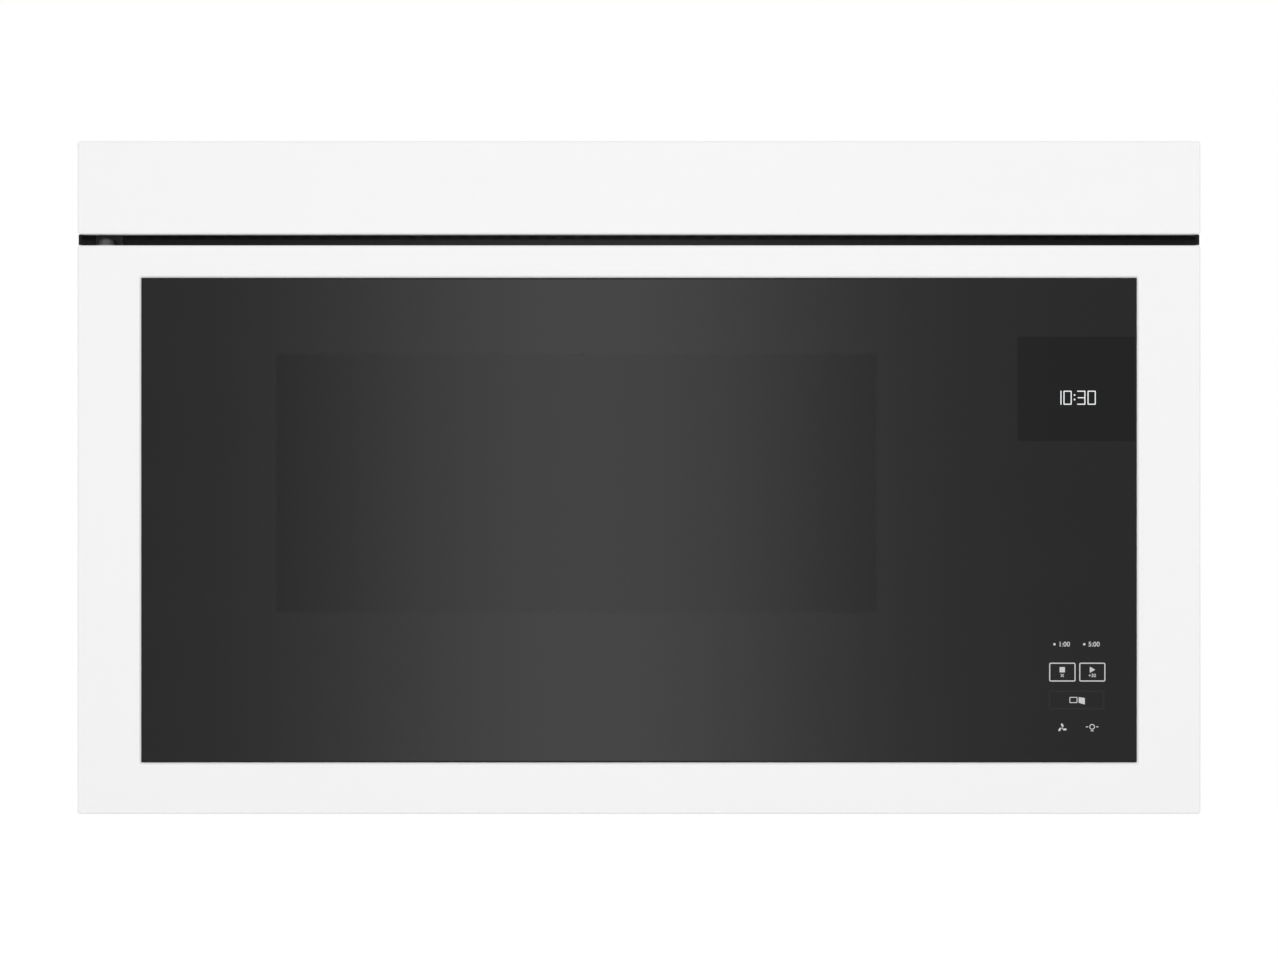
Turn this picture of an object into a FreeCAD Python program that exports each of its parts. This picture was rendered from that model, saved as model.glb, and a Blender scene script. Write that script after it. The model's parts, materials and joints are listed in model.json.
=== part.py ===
"""Over-the-range microwave oven with a full-width touch-glass door, a vent hood below and a blower above.

All lengths are millimetres. The origin is the centre of the footprint at the underside.
+X is to the viewer's right, +Y runs back to the wall and +Z is up, so the door faces -Y.
Each function makes one sub-part; the table at the end writes each of them to its own file.
"""
import FreeCAD
import Part
import math
import os
from FreeCAD import Vector

# ---------------------------------------------------------------- overall and front, as seen from the room
overall_width = 758.8
overall_height = 455.6
overall_depth = 360.4
front_zone_depth = 42.0        # from the door's face back to the front frame
case_side_inset = 1.4          # how far the case stands inside the door's ends
fascia_rise = 3.0              # how far the fascia stands above the case
fascia_height = 63.0
vent_slot_height = 7.4         # air outlet between the fascia and the door
door_ground_clearance = 1.0
moulding_wall = 2.0
corner_radius = 2.0
face_edge_radius = 1.5

# ---------------------------------------------------------------- sheet metal
sheet = 1.0
flange = 12.0
flange_end_gap = 1.0
screw_shank_radius = 1.6
screw_head_radius = 3.2
screw_head_height = 1.2
screw_hole_clearance = 0.1
screw_grip = 4.0               # shank length below the head
side_screws_per_row = 3

# ---------------------------------------------------------------- oven cavity
cavity_left_bay = 94.7         # between the left side panel and the cavity
component_bay_width = 179.3    # between the cavity and the right side panel
cavity_back_gap = 26.4
blower_bay_height = 116.6      # from the cavity's ceiling to the top of the case
cavity_floor_z = 106.0
perforation_radius = 1.8
perforation_pitch = 7.0
exhaust_perforation_columns = 8
exhaust_perforation_rows = 6
exhaust_perforation_setback = 67.2
exhaust_perforation_drop = 51.0
lamp_window_width = 40.0
lamp_window_height = 30.0
lamp_window_setback = 167.2
lamp_window_drop = 51.0
lamp_lens_thickness = 2.0
lamp_lens_rim = 6.0
lamp_box_depth = 30.0
lamp_bulb_radius = 6.0
shelf_thickness = 4.0
shelf_edge_gap = 1.0
shelf_corner_radius = 8.0
well_radius = 95.0
well_depth = 25.0

# ---------------------------------------------------------------- microwave feed below the cavity
waveguide_half_width = 43.0
waveguide_height = 30.0
waveguide_wall = 1.2
waveguide_left_overrun = 48.0
waveguide_right_overrun = 68.0
feed_hole_radius = 20.0
stirrer_radius = 76.0
stirrer_thickness = 1.2
stirrer_height_in_well = 14.0
stirrer_vane_height = 9.0
stirrer_window_count = 3
stirrer_window_inner = 26.0
stirrer_window_outer = 62.0
stirrer_window_width = 22.0
stirrer_shaft_radius = 4.0
stirrer_shaft_clearance = 0.3
stirrer_motor_radius = 25.0
stirrer_motor_height = 20.0
stirrer_motor_ear_width = 12.0
stirrer_motor_ear_reach = 34.0
magnetron_gap = 15.8           # from the cavity's side to the flange
magnetron_flange_width = 95.0
magnetron_flange_depth = 70.0
magnetron_flange_thickness = 2.0
magnetron_yoke_width = 72.0
magnetron_yoke_depth = 60.0
magnetron_yoke_height = 58.0
magnetron_yoke_wall = 1.6
magnetron_fin_count = 8
magnetron_fin_thickness = 1.0
magnetron_core_radius = 18.0
magnetron_antenna_radius = 8.0
magnetron_antenna_length = 18.0
magnetron_antenna_clearance = 4.0
magnetron_filter_width = 60.0
magnetron_filter_depth = 50.0
magnetron_filter_height = 24.0

# ---------------------------------------------------------------- power components in the right-hand bay
transformer_gap = 14.0         # between its foot and the capacitor
transformer_back_gap = 9.2
transformer_width = 88.0
transformer_depth = 66.0
transformer_height = 74.0
transformer_coil_depth = 96.0
transformer_coil_height = 20.0
transformer_coil_gap = 2.0
transformer_coil_round = 8.0
transformer_leg_width = 18.0
transformer_foot = 8.0
transformer_foot_thickness = 2.0
capacitor_side_gap = 15.0
capacitor_width = 34.0
capacitor_length = 54.0
capacitor_height = 86.0
capacitor_corner_radius = 16.0
capacitor_terminal_radius = 3.0
capacitor_terminal_height = 9.0
board_front_gap = 25.2
board_length = 150.0
board_height = 150.0
board_top_rise = 4.0           # above the cavity's ceiling
board_thickness = 1.6
board_standoff = 8.0
board_standoff_radius = 3.5
board_standoff_inset = 8.0
relay_width = 16.0
relay_length = 20.0
relay_height = 15.0
relay_count = 4
board_coil_size = 34.0
board_coil_depth = 27.0
board_coil_inset = 33.0
board_can_count = 3
board_can_pitch = 20.0
board_can_radius = 5.3
board_can_length = 15.0
cooling_fan_side_gap = 68.0    # between the shroud and the right side panel
cooling_fan_drop = 46.0        # below the cavity's ceiling
cooling_fan_radius = 41.0
cooling_fan_hub_radius = 14.0
cooling_fan_hub_length = 12.0
cooling_fan_blades = 7
cooling_fan_blade_chord = 22.0
cooling_fan_blade_thickness = 1.5
cooling_fan_blade_pitch = 32.0
cooling_fan_shaft_radius = 2.0
cooling_fan_tip_clearance = 3.0
cooling_fan_blade_sink = 3.0    # how deep a blade is moulded into the hub
cooling_fan_tip_sagitta = 1.5   # how far a blade's flat tip stays inside the fan's radius
fan_hub_gap = 1.0
shroud_wall = 3.0
shroud_depth = 40.0
shroud_front_thickness = 2.0
fan_motor_size = 38.0
fan_motor_length = 20.0
fan_motor_cover_radius = 13.0
fan_motor_arm_width = 8.0
fan_motor_arm_thickness = 3.0
shaft_running_clearance = 0.05

# ---------------------------------------------------------------- vent blower above the cavity
wheel_radius = 40.0
wheel_width = 56.0
wheel_blade_count = 24
wheel_blade_depth = 8.0
wheel_blade_thickness = 1.0
wheel_blade_lean = 25.0
wheel_ring_thickness = 2.0
wheel_hub_radius = 9.0
wheel_hub_length = 16.0
wheel_side_clearance = 2.0
volute_tongue_gap = 3.0
volute_step = 3.5
volute_wall = 1.2
volute_inlet_radius = 31.0
volute_top_gap = 0.3
blower_foot_height = 3.0
blower_foot_half_depth = 30.0
blower_shaft_radius = 4.0
blower_shaft_hole_radius = 6.5
blower_motor_half_length = 36.0
blower_motor_radius = 32.0
blower_motor_band_width = 10.0
blower_motor_band_proud = 1.5
exhaust_opening_width = 254.0
exhaust_opening_depth = 83.0
exhaust_opening_offset = 24.0  # behind the blower's axis
exhaust_back_margin = 25.7
exhaust_collar_height = 6.0

# ---------------------------------------------------------------- cabinet, wall and mains connections
cabinet_bolt_spacing = 600.0
cabinet_bolt_wall_distance = 270.2
cabinet_bolt_radius = 3.3
weld_nut_across_flats = 13.0
weld_nut_height = 6.0
hook_slot_width = 60.0
hook_slot_height = 9.0
hook_slot_z = 30.0
hook_slot_spacing = 400.0
rear_duct_width = 254.0
rear_duct_height = 72.0
rear_duct_drop = 13.6          # from the roof down to the outlet
rear_cover_lap = 9.0
gland_side_margin = 77.0
gland_back_margin = 49.2
gland_bore_radius = 4.2
gland_body_radius = 8.5
gland_flange_radius = 12.0
gland_flange_height = 2.0
gland_length = 14.0
rib_width = 14.0               # stiffening ribs pressed into the back panel
rib_depth = 3.0
rib_spacing = 130.0
rib_count = 4
rib_bottom_z = 70.0
rib_end_gap = 17.0             # below the rear duct's cover

# ---------------------------------------------------------------- underside
filter_length = 194.0
filter_thickness = 9.0
filter_centre_x = 235.0
filter_front_gap = 5.0         # behind the lamp lenses
filter_back_gap = 19.0         # in front of the transformer
filter_side_clearance = 0.5
filter_recess = 1.0
filter_seat_gap = 0.3
filter_seat_ledge = 6.0
filter_border = 9.0
filter_border_wall = 1.2
filter_pad_thickness = 5.0
filter_corner_radius = 5.0
filter_tab_width = 26.0
filter_tab_length = 12.0
filter_tab_thickness = 1.2
hood_lens_length = 92.0
hood_lens_width = 46.0
hood_lens_thickness = 3.0
hood_lens_lip = 4.0
hood_lens_centre_x = 66.0
hood_lens_front_margin = 26.2
hood_lens_clearance = 0.4
hood_lens_corner_radius = 6.0
led_board_height = 14.0
led_board_margin = 8.0
led_count = 5
led_size = 5.0
led_height = 1.2
louvre_count = 9
louvre_length = 44.0
louvre_width = 3.2
louvre_pitch = 8.0
louvre_side_margin = 13.4
louvre_front_margin = 3.2

# ---------------------------------------------------------------- fascia, grille and charcoal filter
fascia_lip_depth = 14.0
fascia_tab_width = 30.0
fascia_tab_length = 14.0
fascia_tab_thickness = 1.2
fascia_tab_spacing = 280.0
grille_thickness = 3.0
grille_gap = 0.4
grille_slot_width = 7.0
grille_slot_pitch = 12.0
grille_slot_margin = 5.0
grille_end_margin = 18.0
grille_back_thickness = 2.0
grille_cheek_thickness = 2.0   # walls that close the air slot's two ends
grille_cheek_inset = 0.8
grille_cheek_setback = 1.2     # behind the fascia's face
air_window_width = 344.0
air_window_height = 42.0
charcoal_width = 352.0
charcoal_thickness = 16.0
charcoal_lap = 4.0
charcoal_border = 6.0
charcoal_rib_count = 11
charcoal_rib_width = 1.6
charcoal_pad_recess = 1.5

# ---------------------------------------------------------------- door
door_rim_depth = 31.0
glass_side_border = 43.1
glass_top_border = 21.9
glass_bottom_border = 34.8
glass_recess = 0.8
glass_thickness = 4.0
glass_gap = 0.3
glass_seat_width = 6.0
glass_seat_land = 8.0
opening_chamfer = 1.3
window_side_margin = 37.35     # inside the cavity's opening
window_lower_margin = 31.45
window_upper_margin = 24.25
panel_setback = 14.2           # steel inner panel behind the door's face
screen_thickness = 0.5
screen_lap = 8.0
choke_reach = 30.0             # choke frame beyond the cavity opening
choke_window_margin = 12.0
choke_wall = 1.0
choke_slot_width = 12.0
choke_slot_inset = 6.0
choke_cover_thickness = 2.0
choke_corner_radius = 22.0
door_running_gap = 2.0         # door's rearmost face to the front frame
inner_glass_thickness = 3.0
inner_glass_lap = 6.0
part_fit_gap = 0.2
door_screw_inset = 46.0
door_screw_rise = 24.0
door_screw_drop = 11.0
door_screw_grip = 9.0
liner_post_radius = 4.0
display_side_margin = 8.3
display_top_margin = 42.1
display_width = 70.0
display_height = 66.0
display_thickness = 7.0
touch_board_side_margin = 9.3
touch_board_width = 64.0
touch_board_rise = 12.2
touch_board_gap = 11.2         # below the display
touch_board_thickness = 1.6
touch_pad_rows = 4
touch_pad_gap = 4.5
touch_pad_thickness = 0.6

# ---------------------------------------------------------------- hinges on the left
hinge_pin_inset = 17.9
hinge_pin_setback = 15.0
hinge_pin_radius = 2.5
hinge_pin_engagement = 11.0
hinge_pin_head_radius = 4.0
hinge_pin_head_height = 1.2
hinge_arm_width = 10.1
hinge_arm_thickness = 3.0
hinge_arm_gap = 0.3
hinge_leg_length = 32.0
hinge_leg_half_width = 9.0
upper_leg_thickness = 3.0
lower_leg_thickness = 1.5
bush_radius = 4.5
bush_length = 12.0
bush_flange_radius = 6.5
bush_flange_height = 0.8
hinge_boss_radius = 8.0
hinge_notch_height = 5.2
hinge_notch_reach = 12.0
hinge_notch_skin = 2.5
hinge_screw_head_height = 1.0
hinge_screw_pitch = 14.0

# ---------------------------------------------------------------- latch and door release
latch_gap = 8.3                # beside the choke
latch_bar_width = 10.0
latch_bar_depth = 8.0
latch_bar_setback = 18.0
latch_travel = 4.0
hook_width = 6.0
hook_height = 8.0
hook_reach = 20.0              # behind the front frame's face
hook_nose_drop = 4.0
hook_nose_length = 8.0
hook_rise = 149.0
hook_drop = 85.2
hook_end_margin = 14.0
latch_clearance = 0.3
latch_guide_thickness = 1.5
slot_side_clearance = 2.6
housing_wall = 2.0
housing_half_width = 12.0
housing_depth = 34.0
housing_margin_low = 46.0
housing_margin_high = 26.0
switch_width = 8.0
switch_depth = 9.0
switch_height = 18.0
switch_offset_y = 4.5
switch_plunger_radius = 1.3
switch_plunger_length = 5.0
switch_plunger_proud = 1.6
lifter_finger_length = 4.0
lifter_finger_thickness = 3.0
lifter_rod_width = 3.0
solenoid_width = 16.0
solenoid_depth = 14.0
solenoid_height = 22.0
solenoid_plunger_radius = 1.4
solenoid_plunger_length = 12.0
spring_radius = 3.0
spring_wire = 0.7
spring_turns = 8
spring_pitch = 3.0
spring_plug_height = 3.0

# ---------------------------------------------------------------- planes worked out from the sizes above
half_width = overall_width / 2
face_y = -overall_depth / 2
wall_y = overall_depth / 2
case_half = half_width - case_side_inset
inner_half = case_half - sheet
frame_y = face_y + front_zone_depth
frame_back_y = frame_y + sheet
back_y = wall_y - sheet
case_top = overall_height - fascia_rise
roof_z = case_top - sheet
fascia_bottom = overall_height - fascia_height
door_top = fascia_bottom - vent_slot_height
door_bottom = door_ground_clearance

cavity_width = 2 * inner_half - cavity_left_bay - component_bay_width
cavity_depth = back_y - cavity_back_gap - frame_back_y
cavity_height = case_top - blower_bay_height - cavity_floor_z
cavity_x0 = -inner_half + cavity_left_bay
cavity_x1 = cavity_x0 + cavity_width
cavity_centre_x = cavity_x0 + cavity_width / 2
cavity_y1 = frame_back_y + cavity_depth
cavity_centre_y = frame_back_y + cavity_depth / 2
cavity_ceiling_z = cavity_floor_z + cavity_height
well_z = cavity_floor_z - well_depth
waveguide_top = well_z - sheet
waveguide_bottom = waveguide_top - waveguide_height
exhaust_perforation_y = frame_back_y + exhaust_perforation_setback
exhaust_perforation_z = cavity_ceiling_z - exhaust_perforation_drop
lamp_window_y = frame_back_y + lamp_window_setback
lamp_window_z = cavity_ceiling_z - lamp_window_drop

magnetron_x = cavity_x1 + sheet + magnetron_gap + magnetron_flange_width / 2
waveguide_right_end_x = magnetron_x + waveguide_right_overrun
capacitor_x = inner_half - capacitor_side_gap - capacitor_width / 2
transformer_x = (capacitor_x - capacitor_width / 2 - transformer_gap - transformer_foot
                 - transformer_width / 2)
transformer_y = back_y - transformer_back_gap - transformer_coil_depth / 2
capacitor_y = transformer_y
board_y_front = frame_back_y + board_front_gap
board_z = cavity_ceiling_z + board_top_rise - board_height
cooling_fan_x = (inner_half - cooling_fan_side_gap - shroud_wall - cooling_fan_tip_clearance
                 - cooling_fan_radius)
cooling_fan_z = cavity_ceiling_z - cooling_fan_drop

cabinet_bolt_y = wall_y - cabinet_bolt_wall_distance
gland_x = inner_half - gland_side_margin
gland_y = back_y - gland_back_margin
rear_duct_z = roof_z - rear_duct_drop - rear_duct_height
rib_top_z = rear_duct_z - rear_cover_lap - rib_end_gap

hood_lens_centre_y = frame_back_y + hood_lens_front_margin + hood_lens_width / 2
filter_front_y = hood_lens_centre_y + hood_lens_width / 2 + filter_front_gap
filter_back_y = transformer_y - transformer_depth / 2 - filter_back_gap
filter_width = filter_back_y - filter_front_y
filter_centre_y = (filter_front_y + filter_back_y) / 2
louvre_x = inner_half - louvre_side_margin - ((louvre_count - 1) * louvre_pitch + louvre_width) / 2
louvre_y = frame_back_y + louvre_front_margin + louvre_length / 2

rim_y = face_y + door_rim_depth
opening_x = half_width - glass_side_border
opening_z0 = door_bottom + glass_bottom_border
opening_z1 = door_top - glass_top_border
glass_y0 = face_y + glass_recess
glass_y1 = glass_y0 + glass_thickness
panel_y = face_y + panel_setback
choke_back_y = frame_y - door_running_gap - choke_cover_thickness
window_width = cavity_width - 2 * window_side_margin
window_height = cavity_height - window_lower_margin - window_upper_margin
window_x0 = cavity_x0 + window_side_margin
window_x1 = window_x0 + window_width
window_z0 = cavity_floor_z + window_lower_margin
window_z1 = window_z0 + window_height
display_x = opening_x - display_side_margin - display_width / 2
display_z = opening_z1 - display_top_margin - display_height / 2
touch_board_x = opening_x - touch_board_side_margin - touch_board_width / 2
touch_board_z = opening_z0 + touch_board_rise
touch_board_height = display_z - display_height / 2 - touch_board_gap - touch_board_z
touch_pad_pitch = touch_board_height / (2 * touch_pad_rows)
touch_pad_size = touch_pad_pitch - touch_pad_gap
pin_x = -half_width + hinge_pin_inset
pin_y = face_y + hinge_pin_setback

exhaust_centre_y = back_y - exhaust_back_margin - exhaust_opening_depth / 2
blower_y = exhaust_centre_y - exhaust_opening_offset
blower_z = (cavity_ceiling_z + sheet + blower_foot_height + wheel_radius + volute_tongue_gap
            + volute_step + volute_wall)
wheel_centre_x = blower_motor_half_length + volute_wall + wheel_side_clearance + wheel_width / 2
latch_x = cavity_x1 + choke_reach + latch_gap + latch_bar_width / 2
hook_z_low = door_bottom + hook_rise
hook_z_high = door_top - hook_drop
housing_y1 = frame_back_y + housing_depth
hook_tip_y = frame_y + hook_reach
nose_y0 = hook_tip_y - hook_nose_length


# ---------------------------------------------------------------- small helpers
def block(x0, x1, y0, y1, z0, z1):
    """A box between two corners."""
    return Part.makeBox(x1 - x0, y1 - y0, z1 - z0, Vector(x0, y0, z0))


def centred_block(x, y, width, depth, z0, z1):
    """A box centred on a point in plan."""
    return block(x - width / 2, x + width / 2, y - depth / 2, y + depth / 2, z0, z1)


def post(x, y, z0, z1, radius):
    """An upright cylinder."""
    return Part.makeCylinder(radius, z1 - z0, Vector(x, y, z0))


def bar_x(x0, x1, y, z, radius):
    """A cylinder along X."""
    return Part.makeCylinder(radius, x1 - x0, Vector(x0, y, z), Vector(1, 0, 0))


def bar_y(x, y0, y1, z, radius):
    """A cylinder along Y."""
    return Part.makeCylinder(radius, y1 - y0, Vector(x, y0, z), Vector(0, 1, 0))


def edges_along(shape, direction):
    """The straight edges of a shape that run along a direction."""
    found = []
    for edge in shape.Edges:
        if isinstance(edge.Curve, Part.Line) and abs(abs(edge.Curve.Direction.dot(direction)) - 1) < 1e-6:
            found.append(edge)
    return found


def rounded_block(x0, x1, y0, y1, z0, z1, radius, direction):
    """A box whose four edges along one direction are rounded."""
    solid = block(x0, x1, y0, y1, z0, z1)
    return solid.makeFillet(radius, edges_along(solid, direction))


def joined(shapes):
    """Several touching solids as one solid."""
    return shapes[0].multiFuse(shapes[1:]).removeSplitter()


def drilled(shape, tools):
    """A shape with every tool cut out of it."""
    return shape.cut(Part.makeCompound(tools)) if tools else shape


def mirrored_pair(solid):
    """A solid on the right together with its mirror image on the left."""
    return Part.makeCompound([solid, solid.mirror(Vector(0, 0, 0), Vector(1, 0, 0))])


def turned(solid, centre, axis, degrees):
    """A copy of a solid, turned about an axis."""
    copy = solid.copy()
    copy.rotate(centre, axis, degrees)
    return copy


AXIS_X = Vector(1, 0, 0)
AXIS_Y = Vector(0, 1, 0)
AXIS_Z = Vector(0, 0, 1)
tolerance = 1e-3               # for picking edges by their place


# ---------------------------------------------------------------- case
def side_screw_points():
    """(y, z) of each screw through the side panels into the flanges behind them."""
    top_row = roof_z - flange / 2
    base_row = sheet + flange / 2
    first_y = frame_back_y + 2 * flange
    last_y = back_y - 2 * flange
    pitch = (last_y - first_y) / (side_screws_per_row - 1)
    rows = [(first_y + i * pitch, z) for z in (base_row, top_row) for i in range(side_screws_per_row)]
    middle_z = (base_row + top_row) / 2
    return rows + [(frame_back_y + flange / 2, middle_z), (back_y - flange / 2, middle_z)]


def side_screw_holes():
    """Cutters for the side screws on both sides."""
    radius = screw_shank_radius + screw_hole_clearance
    start = inner_half - 2 * sheet
    cutters = []
    for y, z in side_screw_points():
        cutters.append(bar_x(start, case_half + sheet, y, z, radius))
        cutters.append(bar_x(-case_half - sheet, -start, y, z, radius))
    return cutters


def side_panel(side):
    """One flat side of the case; side is -1 for the left and 1 for the right."""
    x0, x1 = sorted((side * inner_half, side * case_half))
    return drilled(block(x0, x1, frame_y, wall_y, 0, case_top), side_screw_holes())


def side_flanges(y0, y1, z0, z1):
    """The two flanges that a panel turns up against the side panels."""
    return [block(inner_half - sheet, inner_half, y0, y1, z0, z1),
            block(-inner_half, -inner_half + sheet, y0, y1, z0, z1)]


def fascia_tab_points():
    """x of each tab that holds the fascia to the roof."""
    return [i * fascia_tab_spacing for i in (-1, 0, 1)]


def fascia_screw_holes(z0, z1):
    """Cutters for the screws through the fascia's tabs."""
    y = frame_y + fascia_tab_length / 2
    radius = screw_shank_radius + screw_hole_clearance
    return [post(x, y, z0, z1, radius) for x in fascia_tab_points()]


def top_panel():
    """Roof with the duct outlet, the bolt holes for the cabinet above and the hole for the mains gland."""
    plate = block(-inner_half, inner_half, frame_y, back_y, roof_z, case_top)
    collar = centred_block(0, exhaust_centre_y, exhaust_opening_width + 2 * sheet,
                           exhaust_opening_depth + 2 * sheet, roof_z - exhaust_collar_height, roof_z)
    solid = joined([plate, collar] + side_flanges(frame_back_y, back_y, roof_z - flange, roof_z))
    opening = centred_block(0, exhaust_centre_y, exhaust_opening_width, exhaust_opening_depth,
                            roof_z - exhaust_collar_height, case_top)
    bolts = [post(s * cabinet_bolt_spacing / 2, cabinet_bolt_y, roof_z, case_top, cabinet_bolt_radius)
             for s in (-1, 1)]
    gland = post(gland_x, gland_y, roof_z, case_top, gland_body_radius)
    holes = fascia_screw_holes(roof_z, case_top) + side_screw_holes()
    return drilled(solid, [opening, gland] + bolts + holes)


def mounting_nuts():
    """Two hexagonal weld nuts under the roof, for the bolts that come down through the cabinet."""
    nuts = []
    corner = weld_nut_across_flats / math.sqrt(3)
    for side in (-1, 1):
        centre = Vector(side * cabinet_bolt_spacing / 2, cabinet_bolt_y, roof_z - weld_nut_height)
        ring = [centre + Vector(corner * math.cos(math.radians(60 * i)),
                                corner * math.sin(math.radians(60 * i)), 0) for i in range(7)]
        hexagon = Part.Face(Part.makePolygon(ring)).extrude(Vector(0, 0, weld_nut_height))
        nuts.append(hexagon.cut(post(centre.x, centre.y, centre.z, roof_z, cabinet_bolt_radius)))
    return Part.makeCompound(nuts)


def lens_openings(z0, z1, grow):
    """Cutters for the two lamp windows in the base."""
    cutters = []
    for side in (-1, 1):
        x, y = side * hood_lens_centre_x, hood_lens_centre_y
        half_x, half_y = hood_lens_length / 2 + grow, hood_lens_width / 2 + grow
        cutters.append(rounded_block(x - half_x, x + half_x, y - half_y, y + half_y, z0, z1,
                                     hood_lens_corner_radius, AXIS_Z))
    return cutters


def filter_seat_height():
    """Underside of the ledge that stops a grease filter."""
    return filter_recess + filter_thickness + filter_seat_gap


def base_pan():
    """Bottom of the case with a seat for each grease filter, the lamp windows and the intake louvres."""
    solids = [block(-inner_half, inner_half, frame_y, back_y, 0, sheet)]
    solids += side_flanges(frame_back_y, back_y, sheet, sheet + flange)
    cutters = lens_openings(0, sheet, hood_lens_clearance)
    seat_z = filter_seat_height()
    half_x = filter_length / 2 + filter_side_clearance
    half_y = filter_width / 2 + filter_side_clearance
    for side in (-1, 1):
        x, y = side * filter_centre_x, filter_centre_y
        solids.append(block(x - half_x - sheet, x + half_x + sheet, y - half_y - sheet,
                            y + half_y + sheet, sheet, seat_z + sheet))
        cutters.append(block(x - half_x, x + half_x, y - half_y, y + half_y, 0, seat_z))
        inner_x, inner_y = half_x - filter_seat_ledge, half_y - filter_seat_ledge
        cutters.append(block(x - inner_x, x + inner_x, y - inner_y, y + inner_y, seat_z, seat_z + sheet))
        first = louvre_x - (louvre_count - 1) * louvre_pitch / 2
        for i in range(louvre_count):
            x = side * (first + i * louvre_pitch)
            cutters.append(centred_block(x, louvre_y, louvre_width, louvre_length, 0, sheet))
    return drilled(joined(solids), cutters + side_screw_holes())


def back_panel():
    """Wall side of the case with hook slots, a blanked-off rear duct outlet and pressed ribs."""
    solids = [block(-inner_half, inner_half, back_y, wall_y, 0, case_top)]
    solids += side_flanges(back_y - flange, back_y, sheet + flange + flange_end_gap,
                           roof_z - flange - flange_end_gap)
    cutters = side_screw_holes()
    for side in (-1, 1):
        x = side * hook_slot_spacing / 2
        cutters.append(block(x - hook_slot_width / 2, x + hook_slot_width / 2, back_y, wall_y,
                             hook_slot_z, hook_slot_z + hook_slot_height))
    cutters.append(block(-rear_duct_width / 2, rear_duct_width / 2, back_y, wall_y,
                         rear_duct_z, rear_duct_z + rear_duct_height))
    for i in range(rib_count):
        x = (i - (rib_count - 1) / 2) * rib_spacing
        solids.append(block(x - rib_width / 2 - sheet, x + rib_width / 2 + sheet, back_y - rib_depth,
                            back_y, rib_bottom_z - sheet, rib_top_z + sheet))
        cutters.append(block(x - rib_width / 2, x + rib_width / 2, back_y - rib_depth + sheet, wall_y,
                             rib_bottom_z, rib_top_z))
    return drilled(joined(solids), cutters)


def rear_duct_cover():
    """Plate inside the case that closes the rear duct outlet when the air leaves at the top."""
    half_x = rear_duct_width / 2 + rear_cover_lap
    return block(-half_x, half_x, back_y - sheet, back_y, rear_duct_z - rear_cover_lap,
                 rear_duct_z + rear_duct_height + rear_cover_lap)


def latch_slot(y0, y1, z):
    """Cutter for the slot that a latch hook passes through, tall enough for its nose and its lift."""
    half = hook_width / 2 + slot_side_clearance
    return block(latch_x - half, latch_x + half, y0, y1, z - hook_nose_drop - latch_clearance,
                 z + hook_height + latch_travel + latch_clearance)


def front_frame():
    """Face of the case: cavity opening, latch slots and the window that leads air to the fascia."""
    plate = block(-inner_half, inner_half, frame_y, frame_back_y, sheet, roof_z)
    sides = side_flanges(frame_back_y, frame_back_y + flange, sheet + flange + flange_end_gap,
                         roof_z - flange - flange_end_gap)
    air_z = fascia_bottom + grille_gap + grille_thickness + charcoal_lap
    cutters = [block(cavity_x0, cavity_x1, frame_y, frame_back_y, cavity_floor_z, cavity_ceiling_z),
               block(-air_window_width / 2, air_window_width / 2, frame_y, frame_back_y, air_z,
                     air_z + air_window_height),
               latch_slot(frame_y, frame_back_y, hook_z_low),
               latch_slot(frame_y, frame_back_y, hook_z_high)]
    cutters += hinge_screw_holes(frame_y, frame_back_y) + side_screw_holes()
    return drilled(joined([plate] + sides), cutters)


def case_screws():
    """Pan-head screws: the side panels', the fascia's and the hinges'."""
    screws = hinge_screws()
    for y, z in side_screw_points():
        head = bar_x(case_half, case_half + screw_head_height, y, z, screw_head_radius)
        shank = bar_x(case_half - screw_grip, case_half, y, z, screw_shank_radius)
        screw = joined([head, shank])
        screws += [screw, screw.mirror(Vector(0, 0, 0), AXIS_X)]
    tab_top = case_top + fascia_tab_thickness
    y = frame_y + fascia_tab_length / 2
    for x in fascia_tab_points():
        head = post(x, y, tab_top, tab_top + screw_head_height, screw_head_radius)
        screws.append(joined([head, post(x, y, tab_top - screw_grip, tab_top, screw_shank_radius)]))
    return Part.makeCompound(screws)


def cord_gland():
    """Bush in the roof that the mains cord passes through."""
    body = post(gland_x, gland_y, case_top + gland_flange_height - gland_length, case_top,
                gland_body_radius)
    cap = post(gland_x, gland_y, case_top, case_top + gland_flange_height, gland_flange_radius)
    bore = post(gland_x, gland_y, case_top - gland_length, case_top + gland_flange_height,
                gland_bore_radius)
    return joined([body, cap]).cut(bore)


# ---------------------------------------------------------------- top of the front
def top_fascia():
    """White panel above the door, open behind and below its lip, with three screw tabs on the roof."""
    solid = rounded_block(-half_width, half_width, face_y, frame_y, fascia_bottom, overall_height,
                          corner_radius, AXIS_Y)
    front = [e for e in solid.Edges if e.BoundBox.YMax < face_y + tolerance]
    solid = solid.makeFillet(face_edge_radius, front)
    inner = half_width - moulding_wall
    skin_y = face_y + moulding_wall
    solid = solid.cut(block(-inner, inner, skin_y, frame_y, fascia_bottom + moulding_wall,
                            overall_height - moulding_wall))
    solid = solid.cut(block(-inner, inner, face_y + fascia_lip_depth, frame_y, fascia_bottom,
                            fascia_bottom + moulding_wall))
    tabs = []
    for x in fascia_tab_points():
        x0, x1 = x - fascia_tab_width / 2, x + fascia_tab_width / 2
        root_y = frame_y - moulding_wall
        tabs.append(block(x0, x1, root_y, frame_y + fascia_tab_length, case_top,
                          case_top + fascia_tab_thickness))
        tabs.append(block(x0, x1, root_y, frame_y, case_top, overall_height - moulding_wall))
    return drilled(joined([solid] + tabs),
                   fascia_screw_holes(case_top, case_top + fascia_tab_thickness))


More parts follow.
